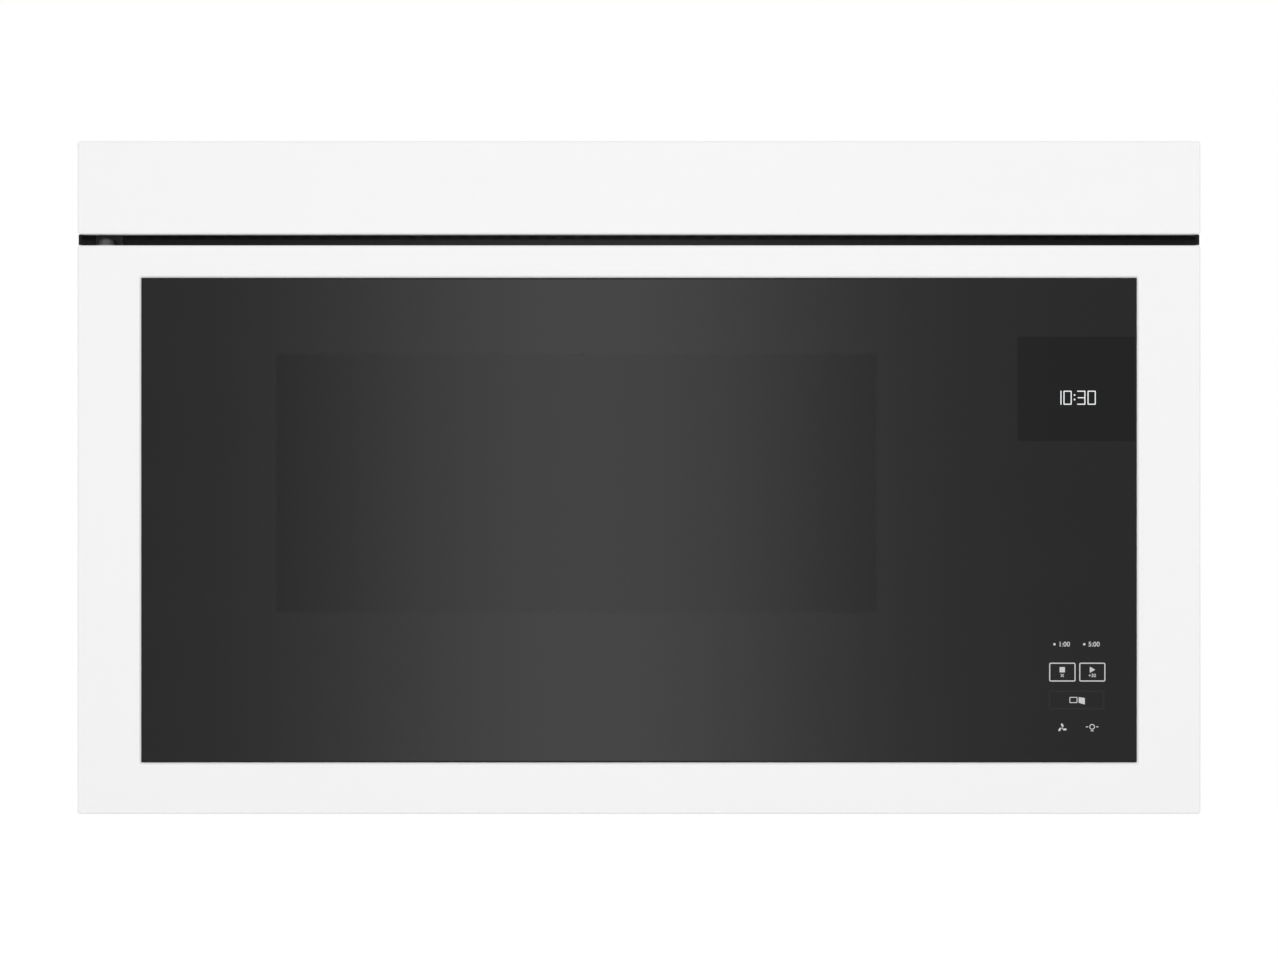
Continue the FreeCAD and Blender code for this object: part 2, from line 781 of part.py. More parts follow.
def hinge_leg_notch():
    """Cutter that leaves room for the upper hinge's leg and screws in the grille."""
    half = hinge_leg_half_width + hinge_arm_gap
    depth = upper_leg_thickness + hinge_screw_head_height + hinge_arm_gap
    return block(pin_x - half, pin_x + half, frame_y - depth, frame_y, door_top,
                 fascia_bottom + grille_gap + grille_thickness)


def vent_grille():
    """Black slotted floor of the fascia, the dark strip behind the air slot and a cheek at each of its ends."""
    z0 = fascia_bottom + grille_gap
    half = half_width - moulding_wall - part_fit_gap
    floor = block(-half, half, face_y + fascia_lip_depth + part_fit_gap, frame_y, z0,
                  z0 + grille_thickness)
    strip = block(-half, half, frame_y - grille_back_thickness, frame_y, door_top + hinge_arm_gap, z0)
    cheek_x1 = half_width - grille_cheek_inset
    cheek_x0 = cheek_x1 - grille_cheek_thickness
    cheeks = []
    for x0, x1, riser_x0, riser_x1 in ((-cheek_x1, -cheek_x0, -half, -cheek_x0),
                                       (cheek_x0, cheek_x1, cheek_x0, half)):
        cheeks.append(block(x0, x1, face_y + grille_cheek_setback, frame_y,
                            door_top + hinge_arm_gap, fascia_bottom - part_fit_gap))
        cheeks.append(block(riser_x0, riser_x1, face_y + fascia_lip_depth + part_fit_gap, frame_y,
                            door_top + hinge_arm_gap, z0))
    count = int(2 * (half - grille_end_margin) // grille_slot_pitch)
    y0 = face_y + fascia_lip_depth + part_fit_gap + grille_slot_margin
    y1 = frame_y - grille_back_thickness - grille_slot_margin
    cutters = [hinge_leg_notch()]
    for i in range(count):
        x = (i - (count - 1) / 2) * grille_slot_pitch
        cutters.append(block(x - grille_slot_width / 2, x + grille_slot_width / 2, y0, y1, z0,
                             z0 + grille_thickness))
    return drilled(joined([floor, strip] + cheeks), cutters)


def charcoal_filter():
    """Charcoal cassette in front of the air window: a ribbed frame around a granular pad."""
    z0 = fascia_bottom + 2 * grille_gap + grille_thickness
    z1 = z0 + air_window_height + 2 * charcoal_lap
    y1 = frame_y - grille_gap
    y0 = y1 - charcoal_thickness
    half = charcoal_width / 2
    frame = block(-half, half, y0, y1, z0, z1)
    frame = frame.cut(block(-half + charcoal_border, half - charcoal_border, y0, y1,
                            z0 + charcoal_border, z1 - charcoal_border))
    pitch = (charcoal_width - 2 * charcoal_border) / (charcoal_rib_count + 1)
    ribs = []
    for i in range(charcoal_rib_count):
        x = -half + charcoal_border + (i + 1) * pitch
        ribs.append(block(x - charcoal_rib_width / 2, x + charcoal_rib_width / 2, y0,
                          y0 + charcoal_pad_recess, z0 + charcoal_border, z1 - charcoal_border))
    pad = block(-half + charcoal_border, half - charcoal_border, y0 + charcoal_pad_recess,
                y1 - charcoal_pad_recess, z0 + charcoal_border, z1 - charcoal_border)
    return joined([frame, pad] + ribs)


# ---------------------------------------------------------------- oven cavity
def cavity_floor():
    """Cavity bottom with the round well that the stirrer turns in."""
    plate = block(cavity_x0 - sheet, cavity_x1 + sheet, frame_back_y, cavity_y1 + sheet,
                  cavity_floor_z - sheet, cavity_floor_z)
    cup = post(cavity_centre_x, cavity_centre_y, well_z - sheet, cavity_floor_z - sheet,
               well_radius + sheet)
    hollow = post(cavity_centre_x, cavity_centre_y, well_z, cavity_floor_z, well_radius)
    feed = post(cavity_centre_x, cavity_centre_y, well_z - sheet, well_z, feed_hole_radius)
    return drilled(joined([plate, cup]), [hollow, feed])


def cavity_ceiling():
    """Cavity top sheet."""
    return block(cavity_x0 - sheet, cavity_x1 + sheet, frame_back_y, cavity_y1 + sheet,
                 cavity_ceiling_z, cavity_ceiling_z + sheet)


def cavity_left_wall():
    """Left cavity wall with the field of small steam outlet holes."""
    wall = block(cavity_x0 - sheet, cavity_x0, frame_back_y, cavity_y1 + sheet, cavity_floor_z,
                 cavity_ceiling_z)
    holes = []
    for i in range(exhaust_perforation_columns):
        for j in range(exhaust_perforation_rows):
            y = exhaust_perforation_y + i * perforation_pitch
            z = exhaust_perforation_z + j * perforation_pitch
            holes.append(bar_x(cavity_x0 - sheet, cavity_x0, y, z, perforation_radius))
    return drilled(wall, holes)


def lamp_window(grow):
    """Cutter and outline of the lamp window in the right cavity wall."""
    half_y, half_z = lamp_window_width / 2 + grow, lamp_window_height / 2 + grow
    return block(cavity_x1, cavity_x1 + sheet, lamp_window_y - half_y, lamp_window_y + half_y,
                 lamp_window_z - half_z, lamp_window_z + half_z)


def cavity_right_wall():
    """Right cavity wall with the lamp window."""
    wall = block(cavity_x1, cavity_x1 + sheet, frame_back_y, cavity_y1 + sheet, cavity_floor_z,
                 cavity_ceiling_z)
    return wall.cut(lamp_window(0))


def cavity_side_walls():
    """Both side walls of the cavity."""
    return Part.makeCompound([cavity_left_wall(), cavity_right_wall()])


def cavity_back_wall():
    """Rear cavity wall."""
    return block(cavity_x0, cavity_x1, cavity_y1, cavity_y1 + sheet, cavity_floor_z, cavity_ceiling_z)


def cavity_lamp_lens():
    """Frosted lens set in the lamp window, with a rim behind the wall."""
    plug = lamp_window(-part_fit_gap)
    rim_x = cavity_x1 + sheet
    half_y = lamp_window_width / 2 + lamp_lens_rim
    half_z = lamp_window_height / 2 + lamp_lens_rim
    rim = block(rim_x, rim_x + lamp_lens_thickness, lamp_window_y - half_y, lamp_window_y + half_y,
                lamp_window_z - half_z, lamp_window_z + half_z)
    return joined([plug, rim])


def cavity_lamp():
    """Lamp holder with a small tubular bulb, on the outside of the right cavity wall."""
    x0 = cavity_x1 + sheet + lamp_lens_thickness
    half_y, half_z = lamp_window_width / 2, lamp_window_height / 2
    wall = moulding_wall
    box = block(x0, x0 + lamp_box_depth, lamp_window_y - half_y, lamp_window_y + half_y,
                lamp_window_z - half_z, lamp_window_z + half_z)
    hollow = block(x0, x0 + lamp_box_depth - wall, lamp_window_y - half_y + wall,
                   lamp_window_y + half_y - wall, lamp_window_z - half_z + wall,
                   lamp_window_z + half_z - wall)
    bulb = bar_y(x0 + lamp_box_depth / 2, lamp_window_y - half_y + wall, lamp_window_y + half_y / 2,
                 lamp_window_z, lamp_bulb_radius)
    return joined([box.cut(hollow), bulb])


def ceramic_shelf():
    """Flat glass-ceramic shelf over the cavity floor."""
    gap = shelf_edge_gap
    return rounded_block(cavity_x0 + gap, cavity_x1 - gap, frame_back_y + gap, cavity_y1 - gap,
                         cavity_floor_z, cavity_floor_z + shelf_thickness, shelf_corner_radius, AXIS_Z)


# ---------------------------------------------------------------- microwave feed
def waveguide():
    """Rectangular duct from the magnetron to the stirrer well."""
    x0 = cavity_centre_x - waveguide_left_overrun
    half = waveguide_half_width
    tube = block(x0, waveguide_right_end_x, cavity_centre_y - half, cavity_centre_y + half,
                 waveguide_bottom, waveguide_top)
    wall = waveguide_wall
    inside = block(x0 + wall, waveguide_right_end_x - wall, cavity_centre_y - half + wall,
                   cavity_centre_y + half - wall, waveguide_bottom + wall, waveguide_top - wall)
    feed = post(cavity_centre_x, cavity_centre_y, waveguide_top - wall, waveguide_top, feed_hole_radius)
    shaft = post(cavity_centre_x, cavity_centre_y, waveguide_bottom, waveguide_bottom + wall,
                 stirrer_shaft_radius + stirrer_shaft_clearance)
    antenna = post(magnetron_x, cavity_centre_y, waveguide_top - wall, waveguide_top,
                   magnetron_antenna_radius + magnetron_antenna_clearance)
    return drilled(tube, [inside, feed, shaft, antenna])


def stirrer():
    """Rotating antenna: a slotted disc with a turned-down rim on a plastic shaft."""
    centre = Vector(cavity_centre_x, cavity_centre_y, 0)
    z0 = well_z + stirrer_height_in_well
    disc = post(centre.x, centre.y, z0, z0 + stirrer_thickness, stirrer_radius)
    windows = []
    for i in range(stirrer_window_count):
        window = block(centre.x + stirrer_window_inner, centre.x + stirrer_window_outer,
                       centre.y - stirrer_window_width / 2, centre.y + stirrer_window_width / 2,
                       z0, z0 + stirrer_thickness)
        windows.append(turned(window, centre, AXIS_Z, 360.0 * i / stirrer_window_count))
    rim = post(centre.x, centre.y, z0 - stirrer_vane_height, z0, stirrer_radius)
    rim = rim.cut(post(centre.x, centre.y, z0 - stirrer_vane_height, z0,
                       stirrer_radius - stirrer_thickness))
    shaft = post(centre.x, centre.y, waveguide_bottom, z0, stirrer_shaft_radius)
    return joined([disc.cut(Part.makeCompound(windows)), rim, shaft])


def stirrer_motor():
    """Flat synchronous motor with two fixing ears, below the waveguide."""
    x, y = cavity_centre_x, cavity_centre_y
    z1 = waveguide_bottom
    body = post(x, y, z1 - stirrer_motor_height, z1, stirrer_motor_radius)
    ears = centred_block(x, y, 2 * stirrer_motor_ear_reach, stirrer_motor_ear_width, z1 - sheet, z1)
    return joined([body, ears])


def magnetron():
    """Magnetron: mounting flange, antenna, finned core in a steel yoke and the filter box on top."""
    x, y = magnetron_x, cavity_centre_y
    z0 = waveguide_top
    z1 = z0 + magnetron_flange_thickness
    z2 = z1 + magnetron_yoke_height
    base = centred_block(x, y, magnetron_flange_width, magnetron_flange_depth, z0, z1)
    antenna = post(x, y, z0 - magnetron_antenna_length, z0, magnetron_antenna_radius)
    antenna = antenna.makeFillet(magnetron_antenna_radius / 2,
                                 [e for e in antenna.Edges if e.BoundBox.ZMax < z0 - 1])
    wall = magnetron_yoke_wall
    yoke = centred_block(x, y, magnetron_yoke_width, magnetron_yoke_depth, z1, z2)
    yoke = yoke.cut(centred_block(x, y, magnetron_yoke_width - 2 * wall, magnetron_yoke_depth,
                                  z1 + wall, z2 - wall))
    core = post(x, y, z1, z2, magnetron_core_radius)
    pitch = (magnetron_yoke_height - 2 * wall) / (magnetron_fin_count + 1)
    fins = []
    for i in range(magnetron_fin_count):
        z = z1 + wall + (i + 1) * pitch
        fins.append(centred_block(x, y, magnetron_yoke_width - 2 * wall, magnetron_yoke_depth - 2 * wall,
                                  z - magnetron_fin_thickness / 2, z + magnetron_fin_thickness / 2))
    cap = centred_block(x, y, magnetron_filter_width, magnetron_filter_depth, z2,
                        z2 + magnetron_filter_height)
    return joined([base, antenna, yoke, core, cap] + fins)


# ---------------------------------------------------------------- right-hand bay
def hv_transformer():
    """High-voltage transformer: laminated core with two windings through its windows, on a foot plate."""
    x, y = transformer_x, transformer_y
    z0 = sheet + transformer_foot_thickness
    foot = centred_block(x, y, transformer_width + 2 * transformer_foot, transformer_depth, sheet, z0)
    core = centred_block(x, y, transformer_width, transformer_depth, z0, z0 + transformer_height)
    middle = z0 + transformer_height / 2
    coils = []
    inner = transformer_width / 2 - transformer_leg_width / 2
    for side in (-1, 1):
        z = middle + side * (transformer_coil_height + transformer_coil_gap) / 2
        coil = centred_block(x, y, 2 * inner, transformer_coil_depth, z - transformer_coil_height / 2,
                             z + transformer_coil_height / 2)
        coils.append(coil.makeFillet(transformer_coil_round, edges_along(coil, AXIS_Z)))
    return joined([foot, core] + coils)


def hv_capacitor():
    """High-voltage capacitor: an oval can with two terminals, strapped to the base."""
    half_x, half_y = capacitor_width / 2, capacitor_length / 2
    x, y = capacitor_x, capacitor_y
    top = sheet + capacitor_height
    can = block(x - half_x, x + half_x, y - half_y, y + half_y, sheet, top)
    can = can.makeFillet(capacitor_corner_radius, edges_along(can, AXIS_Z))
    terminals = [post(x, y + s * half_y / 2, top, top + capacitor_terminal_height,
                      capacitor_terminal_radius) for s in (-1, 1)]
    return joined([can] + terminals)


def power_board():
    """Relay and supply board that stands off the right side panel, with its components and standoffs."""
    x1 = inner_half - board_standoff
    x0 = x1 - board_thickness
    y0, y1 = board_y_front, board_y_front + board_length
    z0, z1 = board_z, board_z + board_height
    solids = [block(x0, x1, y0, y1, z0, z1)]
    inset = board_standoff_inset
    for y in (y0 + inset, y1 - inset):
        for z in (z0 + inset, z1 - inset):
            solids.append(bar_x(x1, inner_half, y, z, board_standoff_radius))
    pitch = (board_length - 2 * inset) / relay_count
    for i in range(relay_count):
        y = y0 + inset + (i + 0.5) * pitch
        solids.append(block(x0 - relay_height, x0, y - relay_length / 2, y + relay_length / 2,
                            z0 + 2 * inset, z0 + 2 * inset + relay_width))
    coil_z = z1 - 2 * inset - board_coil_size
    coil_y = y0 + board_coil_inset
    solids.append(block(x0 - board_coil_depth, x0, coil_y, coil_y + board_coil_size, coil_z,
                        coil_z + board_coil_size))
    for i in range(board_can_count):
        y = y1 - 2 * inset - i * board_can_pitch
        solids.append(bar_x(x0 - board_can_length, x0, y, coil_z + board_coil_size / 2,
                            board_can_radius))
    return joined(solids)


def fan_shroud():
    """Square duct on the back panel that the cooling fan turns in, open below towards the magnetron."""
    half = cooling_fan_radius + cooling_fan_tip_clearance + shroud_wall
    y0 = back_y - shroud_depth
    duct = block(cooling_fan_x - half, cooling_fan_x + half, y0, back_y, cooling_fan_z - half,
                 cooling_fan_z + half)
    inside_half = half - shroud_wall
    inside = block(cooling_fan_x - inside_half, cooling_fan_x + inside_half,
                   y0 + shroud_front_thickness, back_y, cooling_fan_z - inside_half,
                   cooling_fan_z + inside_half)
    mouth = bar_y(cooling_fan_x, y0, y0 + shroud_front_thickness, cooling_fan_z,
                  cooling_fan_radius + cooling_fan_tip_clearance)
    outlet = block(cooling_fan_x - inside_half, cooling_fan_x + inside_half,
                   y0 + shroud_front_thickness, back_y, cooling_fan_z - half,
                   cooling_fan_z - inside_half)
    return drilled(duct, [inside, mouth, outlet])


def fan_motor():
    """Shaded-pole fan motor on two arms across the shroud."""
    y1 = back_y - fan_motor_arm_thickness
    y0 = y1 - fan_motor_length
    half = fan_motor_size / 2
    body = block(cooling_fan_x - half, cooling_fan_x + half, y0, y1, cooling_fan_z - half,
                 cooling_fan_z + half)
    nose = bar_y(cooling_fan_x, y0 - fan_motor_arm_thickness, y0, cooling_fan_z, fan_motor_cover_radius)
    reach = cooling_fan_radius + cooling_fan_tip_clearance
    arm = block(cooling_fan_x - reach, cooling_fan_x + reach, y1, back_y,
                cooling_fan_z - fan_motor_arm_width / 2, cooling_fan_z + fan_motor_arm_width / 2)
    bore = bar_y(cooling_fan_x, y0 - fan_motor_arm_thickness, y1, cooling_fan_z,
                 cooling_fan_shaft_radius + shaft_running_clearance)
    return joined([body, nose, arm]).cut(bore)


def fan_hub_front_y():
    """Front face of the cooling fan's hub."""
    motor_front = back_y - 2 * fan_motor_arm_thickness - fan_motor_length
    return motor_front - fan_hub_gap - cooling_fan_hub_length


def cooling_fan():
    """Axial fan with pitched blades and its shaft."""
    centre = Vector(cooling_fan_x, 0, cooling_fan_z)
    y0 = fan_hub_front_y()
    y1 = y0 + cooling_fan_hub_length
    middle = (y0 + y1) / 2
    solids = [bar_y(cooling_fan_x, y0, y1, cooling_fan_z, cooling_fan_hub_radius)]
    shaft_end = y1 + fan_hub_gap + fan_motor_length
    solids.append(bar_y(cooling_fan_x, y1, shaft_end, cooling_fan_z, cooling_fan_shaft_radius))
    half = cooling_fan_blade_chord / 2
    blade = block(cooling_fan_x - half, cooling_fan_x + half, middle - cooling_fan_blade_thickness / 2,
                  middle + cooling_fan_blade_thickness / 2,
                  cooling_fan_z + cooling_fan_hub_radius - cooling_fan_blade_sink,
                  cooling_fan_z + cooling_fan_radius - cooling_fan_tip_sagitta)
    blade = blade.makeFillet(half / 2, edges_along(blade, AXIS_Y))
    blade = turned(blade, Vector(cooling_fan_x, middle, 0), AXIS_Z, cooling_fan_blade_pitch)
    for i in range(cooling_fan_blades):
        solids.append(turned(blade, centre, AXIS_Y, 360.0 * i / cooling_fan_blades))
    return joined(solids)


# ---------------------------------------------------------------- vent blower
def volute_face(grow, top_z, x):
    """Scroll outline in a plane of constant X: three quarter arcs of growing radius, then straight up.

    The outline starts at the tongue above the axis, runs over the front and the bottom, and leaves
    upwards at the rear. grow offsets it outwards by a wall.
    """
    first = wheel_radius + volute_tongue_gap
    step = volute_step

    def at(y, z):
        return Vector(x, blower_y + y, blower_z + z)

    def on_arc(centre_y, centre_z, radius, degrees):
        angle = math.radians(degrees)
        return at(centre_y + radius * math.cos(angle), centre_z + radius * math.sin(angle))

    start_z = math.sqrt((first + grow) ** 2 - grow ** 2)
    start = at(-grow, start_z)
    front = at(-(first + grow), 0)
    bottom = at(step, -(first + step + grow))
    rear = at(first + 3 * step + grow, step)
    top = top_z - blower_z
    edges = [Part.Arc(start, on_arc(0, 0, first + grow, 135), front).toShape(),
             Part.Arc(front, on_arc(step, 0, first + step + grow, 225), bottom).toShape(),
             Part.Arc(bottom, on_arc(step, step, first + 2 * step + grow, 315), rear).toShape(),
             Part.LineSegment(rear, at(first + 3 * step + grow, top)).toShape(),
             Part.LineSegment(at(first + 3 * step + grow, top), at(-grow, top)).toShape(),
             Part.LineSegment(at(-grow, top), start).toShape()]
    return Part.Face(Part.Wire(edges))


def blower_scroll():
    """The right-hand scroll of the vent blower, on its foot."""
    x0 = blower_motor_half_length
    width = wheel_width + 2 * wheel_side_clearance + 2 * volute_wall
    top_z = roof_z - exhaust_collar_height - volute_top_gap
    outside = volute_face(volute_wall, top_z, x0).extrude(Vector(width, 0, 0))
    inside = volute_face(0, top_z + volute_wall, x0 + volute_wall)
    inside = inside.extrude(Vector(width - 2 * volute_wall, 0, 0))
    foot_z = cavity_ceiling_z + sheet
    foot = block(x0, x0 + width, blower_y - blower_foot_half_depth, blower_y + blower_foot_half_depth,
                 foot_z, foot_z + blower_foot_height + volute_wall / 2)
    solid = joined([outside, foot.cut(outside)]).cut(inside)
    inlet = bar_x(x0 + width - volute_wall, x0 + width, blower_y, blower_z, volute_inlet_radius)
    shaft = bar_x(x0, x0 + volute_wall, blower_y, blower_z, blower_shaft_hole_radius)
    return drilled(solid, [inlet, shaft])


def blower_housing():
    """Both scrolls of the vent blower."""
    return mirrored_pair(blower_scroll())


def blower_motor():
    """Motor between the two scrolls, with a fixing band."""
    half = blower_motor_half_length
    body = bar_x(-half, half, blower_y, blower_z, blower_motor_radius)
    band = bar_x(-blower_motor_band_width / 2, blower_motor_band_width / 2, blower_y, blower_z,
                 blower_motor_radius + blower_motor_band_proud)
    bore = bar_x(-half, half, blower_y, blower_z, blower_shaft_radius + shaft_running_clearance)
    return joined([body, band]).cut(bore)


def blower_wheel():
    """The right-hand squirrel-cage wheel: a closed disc, a hub, leaning blades and an end ring."""
    x0 = wheel_centre_x - wheel_width / 2
    x1 = wheel_centre_x + wheel_width / 2
    centre = Vector(0, blower_y, blower_z)
    disc = bar_x(x0, x0 + wheel_ring_thickness, blower_y, blower_z, wheel_radius)
    hub = bar_x(x0, x0 + wheel_hub_length, blower_y, blower_z, wheel_hub_radius)
    ring = bar_x(x1 - wheel_ring_thickness, x1, blower_y, blower_z, wheel_radius)
    ring = ring.cut(bar_x(x1 - wheel_ring_thickness, x1, blower_y, blower_z,
                          wheel_radius - wheel_blade_depth))
    middle = wheel_radius - wheel_blade_depth / 2
    half = wheel_blade_depth / 2 - wheel_blade_thickness
    blade = block(x0, x1, blower_y - wheel_blade_thickness / 2, blower_y + wheel_blade_thickness / 2,
                  blower_z + middle - half, blower_z + middle + half)
    blade = turned(blade, Vector(0, blower_y, blower_z + middle), AXIS_X, wheel_blade_lean)
    blades = [turned(blade, centre, AXIS_X, 360.0 * i / wheel_blade_count)
              for i in range(wheel_blade_count)]
    return joined([disc, hub, ring] + blades)


def blower_rotor():
    """Both wheels on their common shaft."""
    wheel = blower_wheel()
    reach = wheel_centre_x
    shaft = bar_x(-reach, reach, blower_y, blower_z, blower_shaft_radius)
    return joined([wheel, wheel.mirror(Vector(0, 0, 0), AXIS_X), shaft])


# ---------------------------------------------------------------- underside
def grease_filter(side):
    """A removable grease filter: channel frame, mesh pad and a pull tab at its front edge."""
    x, y = side * filter_centre_x, filter_centre_y
    half_x, half_y = filter_length / 2, filter_width / 2
    z0, z1 = filter_recess, filter_recess + filter_thickness
    border, wall = filter_border, filter_border_wall
    frame = rounded_block(x - half_x, x + half_x, y - half_y, y + half_y, z0, z1,
                          filter_corner_radius, AXIS_Z)
    frame = frame.cut(block(x - half_x + border, x + half_x - border, y - half_y + border,
                            y + half_y - border, z0, z1))
    frame = frame.cut(block(x - half_x + wall, x + half_x - wall, y - half_y + wall, y + half_y - wall,
                            z0 + wall, z1 - wall))
    middle = (z0 + z1) / 2
    pad = block(x - half_x + wall, x + half_x - wall, y - half_y + wall, y + half_y - wall,
                middle - filter_pad_thickness / 2, middle + filter_pad_thickness / 2)
    tab = centred_block(x, y - half_y + border + filter_tab_length / 2, filter_tab_width,
                        filter_tab_length, z0, z0 + filter_tab_thickness)
    return Part.makeCompound([joined([frame, tab]), pad])


def hood_lenses():
    """The two frosted lamp lenses, each flush in the base with a lip above it."""
    lenses = []
    for plug, lip in zip(lens_openings(0, sheet, 0), lens_openings(sheet, hood_lens_thickness,
                                                                   hood_lens_lip)):
        lenses.append(joined([plug, lip]))
    return Part.makeCompound(lenses)


def hood_lamp_boards():
    """The two lamp modules: a reflector box over each lens with its row of light sources."""
    solids = []
    wall = moulding_wall
    for side in (-1, 1):
        x, y = side * hood_lens_centre_x, hood_lens_centre_y
        length = hood_lens_length - led_board_margin
        width = hood_lens_width - led_board_margin
        z0, z1 = hood_lens_thickness, hood_lens_thickness + led_board_height
        box = centred_block(x, y, length, width, z0, z1)
        box = box.cut(centred_block(x, y, length - 2 * wall, width - 2 * wall, z0, z1 - wall))
        pitch = (length - 2 * led_board_margin) / led_count
        parts = [box]
        for i in range(led_count):
            lamp_x = x + (i - (led_count - 1) / 2) * pitch
            parts.append(centred_block(lamp_x, y, led_size, led_size, z1 - wall - led_height, z1 - wall))
        solids.append(joined(parts))
    return Part.makeCompound(solids)


# ---------------------------------------------------------------- door
def door_frame():
    """White door frame: a moulded face with rounded edges, deep rims, the glass seat and hinge bosses."""
    solid = rounded_block(-half_width, half_width, face_y, rim_y, door_bottom, door_top,
                          corner_radius, AXIS_Y)
    front = [e for e in solid.Edges if e.BoundBox.YMax < face_y + tolerance]
    solid = solid.makeFillet(face_edge_radius, front)
    wall = moulding_wall
    inner = half_width - wall
    solid = solid.cut(block(-inner, inner, face_y + wall, rim_y, door_bottom + wall, door_top - wall))
    land, seat = glass_seat_land, glass_seat_width
    seat_ring = block(-opening_x - land, opening_x + land, face_y + wall, glass_y1 + wall,
                      opening_z0 - land, opening_z1 + land)
    seat_x, seat_z0, seat_z1 = opening_x - seat, opening_z0 + seat, opening_z1 - seat
    through = block(-seat_x, seat_x, face_y, glass_y1 + wall, seat_z0, seat_z1)
    pocket = block(-opening_x, opening_x, face_y, glass_y1, opening_z0, opening_z1)
    solid = drilled(joined([solid, seat_ring]), [through, pocket])
    rim = [e for e in solid.Edges
           if e.BoundBox.YMax < face_y + tolerance and e.BoundBox.XMax < opening_x + tolerance
           and e.BoundBox.XMin > -opening_x - tolerance and e.BoundBox.ZMin > opening_z0 - tolerance
           and e.BoundBox.ZMax < opening_z1 + tolerance]
    solid = solid.makeChamfer(opening_chamfer, rim)
    return add_hinge_bosses(solid)


def hinge_notch_top():
    """Height of the notch under the door's lower hinge corner."""
    return door_bottom + hinge_notch_height


def add_hinge_bosses(solid):
    """The door frame with its two bush seats and the notch that the lower hinge arm turns in."""
    wall = moulding_wall
    notch_z = hinge_notch_top()
    notch_x = pin_x + hinge_notch_reach
    skin_y = face_y + hinge_notch_skin
    floor = block(-half_width + wall, notch_x + wall, face_y + wall, rim_y, notch_z, notch_z + wall)
    end = block(notch_x, notch_x + wall, face_y + wall, rim_y, door_bottom + wall, notch_z)
    low_boss = post(pin_x, pin_y, notch_z, notch_z + bush_length + wall, hinge_boss_radius)
    high_boss = post(pin_x, pin_y, door_top - bush_length - wall, door_top - wall, hinge_boss_radius)
    solid = joined([solid, floor, end, low_boss, high_boss])
    notch = block(-half_width, notch_x, skin_y, rim_y, door_bottom, notch_z)
    low_bore = post(pin_x, pin_y, notch_z, notch_z + bush_length, bush_radius)
    high_bore = post(pin_x, pin_y, door_top - bush_length, door_top, bush_radius)
    return drilled(solid, [notch, low_bore, high_bore])


def hinge_bushes():
    """Two flanged plastic bushes pressed into the door."""
    bore = hinge_pin_radius + shaft_running_clearance
    high = joined([post(pin_x, pin_y, door_top - bush_length, door_top, bush_radius),
                   post(pin_x, pin_y, door_top, door_top + bush_flange_height, bush_flange_radius)])
    high = high.cut(post(pin_x, pin_y, door_top - bush_length, door_top + bush_flange_height, bore))
    z = hinge_notch_top()
    low = joined([post(pin_x, pin_y, z, z + bush_length, bush_radius),
                  post(pin_x, pin_y, z - bush_flange_height, z, bush_flange_radius)])
    low = low.cut(post(pin_x, pin_y, z - bush_flange_height, z + bush_length, bore))
    return Part.makeCompound([high, low])


def hinge_arm(z0, z1):
    """Flat arm from the front frame to the pin, rounded at the pin."""
    half = hinge_arm_width / 2
    arm = block(pin_x - half, pin_x + half, pin_y, frame_y, z0, z1)
    return joined([arm, post(pin_x, pin_y, z0, z1, half)])


def upper_arm_z():
    """Underside of the upper hinge arm."""
    return door_top + bush_flange_height + hinge_arm_gap


def lower_arm_top():
    """Top of the lower hinge arm."""
    return hinge_notch_top() - bush_flange_height - hinge_arm_gap


def upper_hinge():
    """Upper hinge bracket: its arm lies in the air slot and its leg goes up the front frame."""
    z0, z1 = upper_arm_z(), upper_arm_top()
    leg = block(pin_x - hinge_leg_half_width, pin_x + hinge_leg_half_width,
                frame_y - upper_leg_thickness, frame_y, z0, z1 + hinge_leg_length)
    hole = post(pin_x, pin_y, z0, z1, hinge_pin_radius)
    return drilled(joined([hinge_arm(z0, z1), leg]),
                   [hole] + hinge_screw_holes(frame_y - upper_leg_thickness, frame_y))


def lower_hinge():
    """Lower hinge bracket: its arm reaches under the door and its leg goes up the front frame."""
    z1 = lower_arm_top()
    z0 = z1 - hinge_arm_thickness
    leg = block(pin_x - hinge_leg_half_width, pin_x + hinge_leg_half_width,
                frame_y - lower_leg_thickness, frame_y, z0, z1 + hinge_leg_length)
    hole = post(pin_x, pin_y, z0, z1, hinge_pin_radius)
    return drilled(joined([hinge_arm(z0, z1), leg]),
                   [hole] + hinge_screw_holes(frame_y - lower_leg_thickness, frame_y))


def hinge_pins():
    """Two headed hinge pins riveted in the arms."""
    z1 = upper_arm_top()
    high = joined([post(pin_x, pin_y, door_top - hinge_pin_engagement, z1, hinge_pin_radius),
                   post(pin_x, pin_y, z1, z1 + hinge_pin_head_height, hinge_pin_head_radius)])
    bottom = lower_arm_top() - hinge_arm_thickness
    low = joined([post(pin_x, pin_y, bottom, hinge_notch_top() + hinge_pin_engagement,
                       hinge_pin_radius),
                  post(pin_x, pin_y, bottom - hinge_pin_head_height, bottom, hinge_pin_head_radius)])
    return Part.makeCompound([high, low])


def hinge_screw_points(arm_top):
    """z of the two screws in the leg of a hinge."""
    middle = arm_top + hinge_leg_length / 2
    return [middle - hinge_screw_pitch / 2, middle + hinge_screw_pitch / 2]


def upper_arm_top():
    """Top of the upper hinge arm, where its leg starts."""
    return upper_arm_z() + hinge_arm_thickness


def hinge_screw_holes(y0, y1):
    """Cutters for the hinge screws."""
    radius = screw_shank_radius + screw_hole_clearance
    heights = hinge_screw_points(upper_arm_top()) + hinge_screw_points(lower_arm_top())
    return [bar_y(pin_x, y0, y1, z, radius) for z in heights]


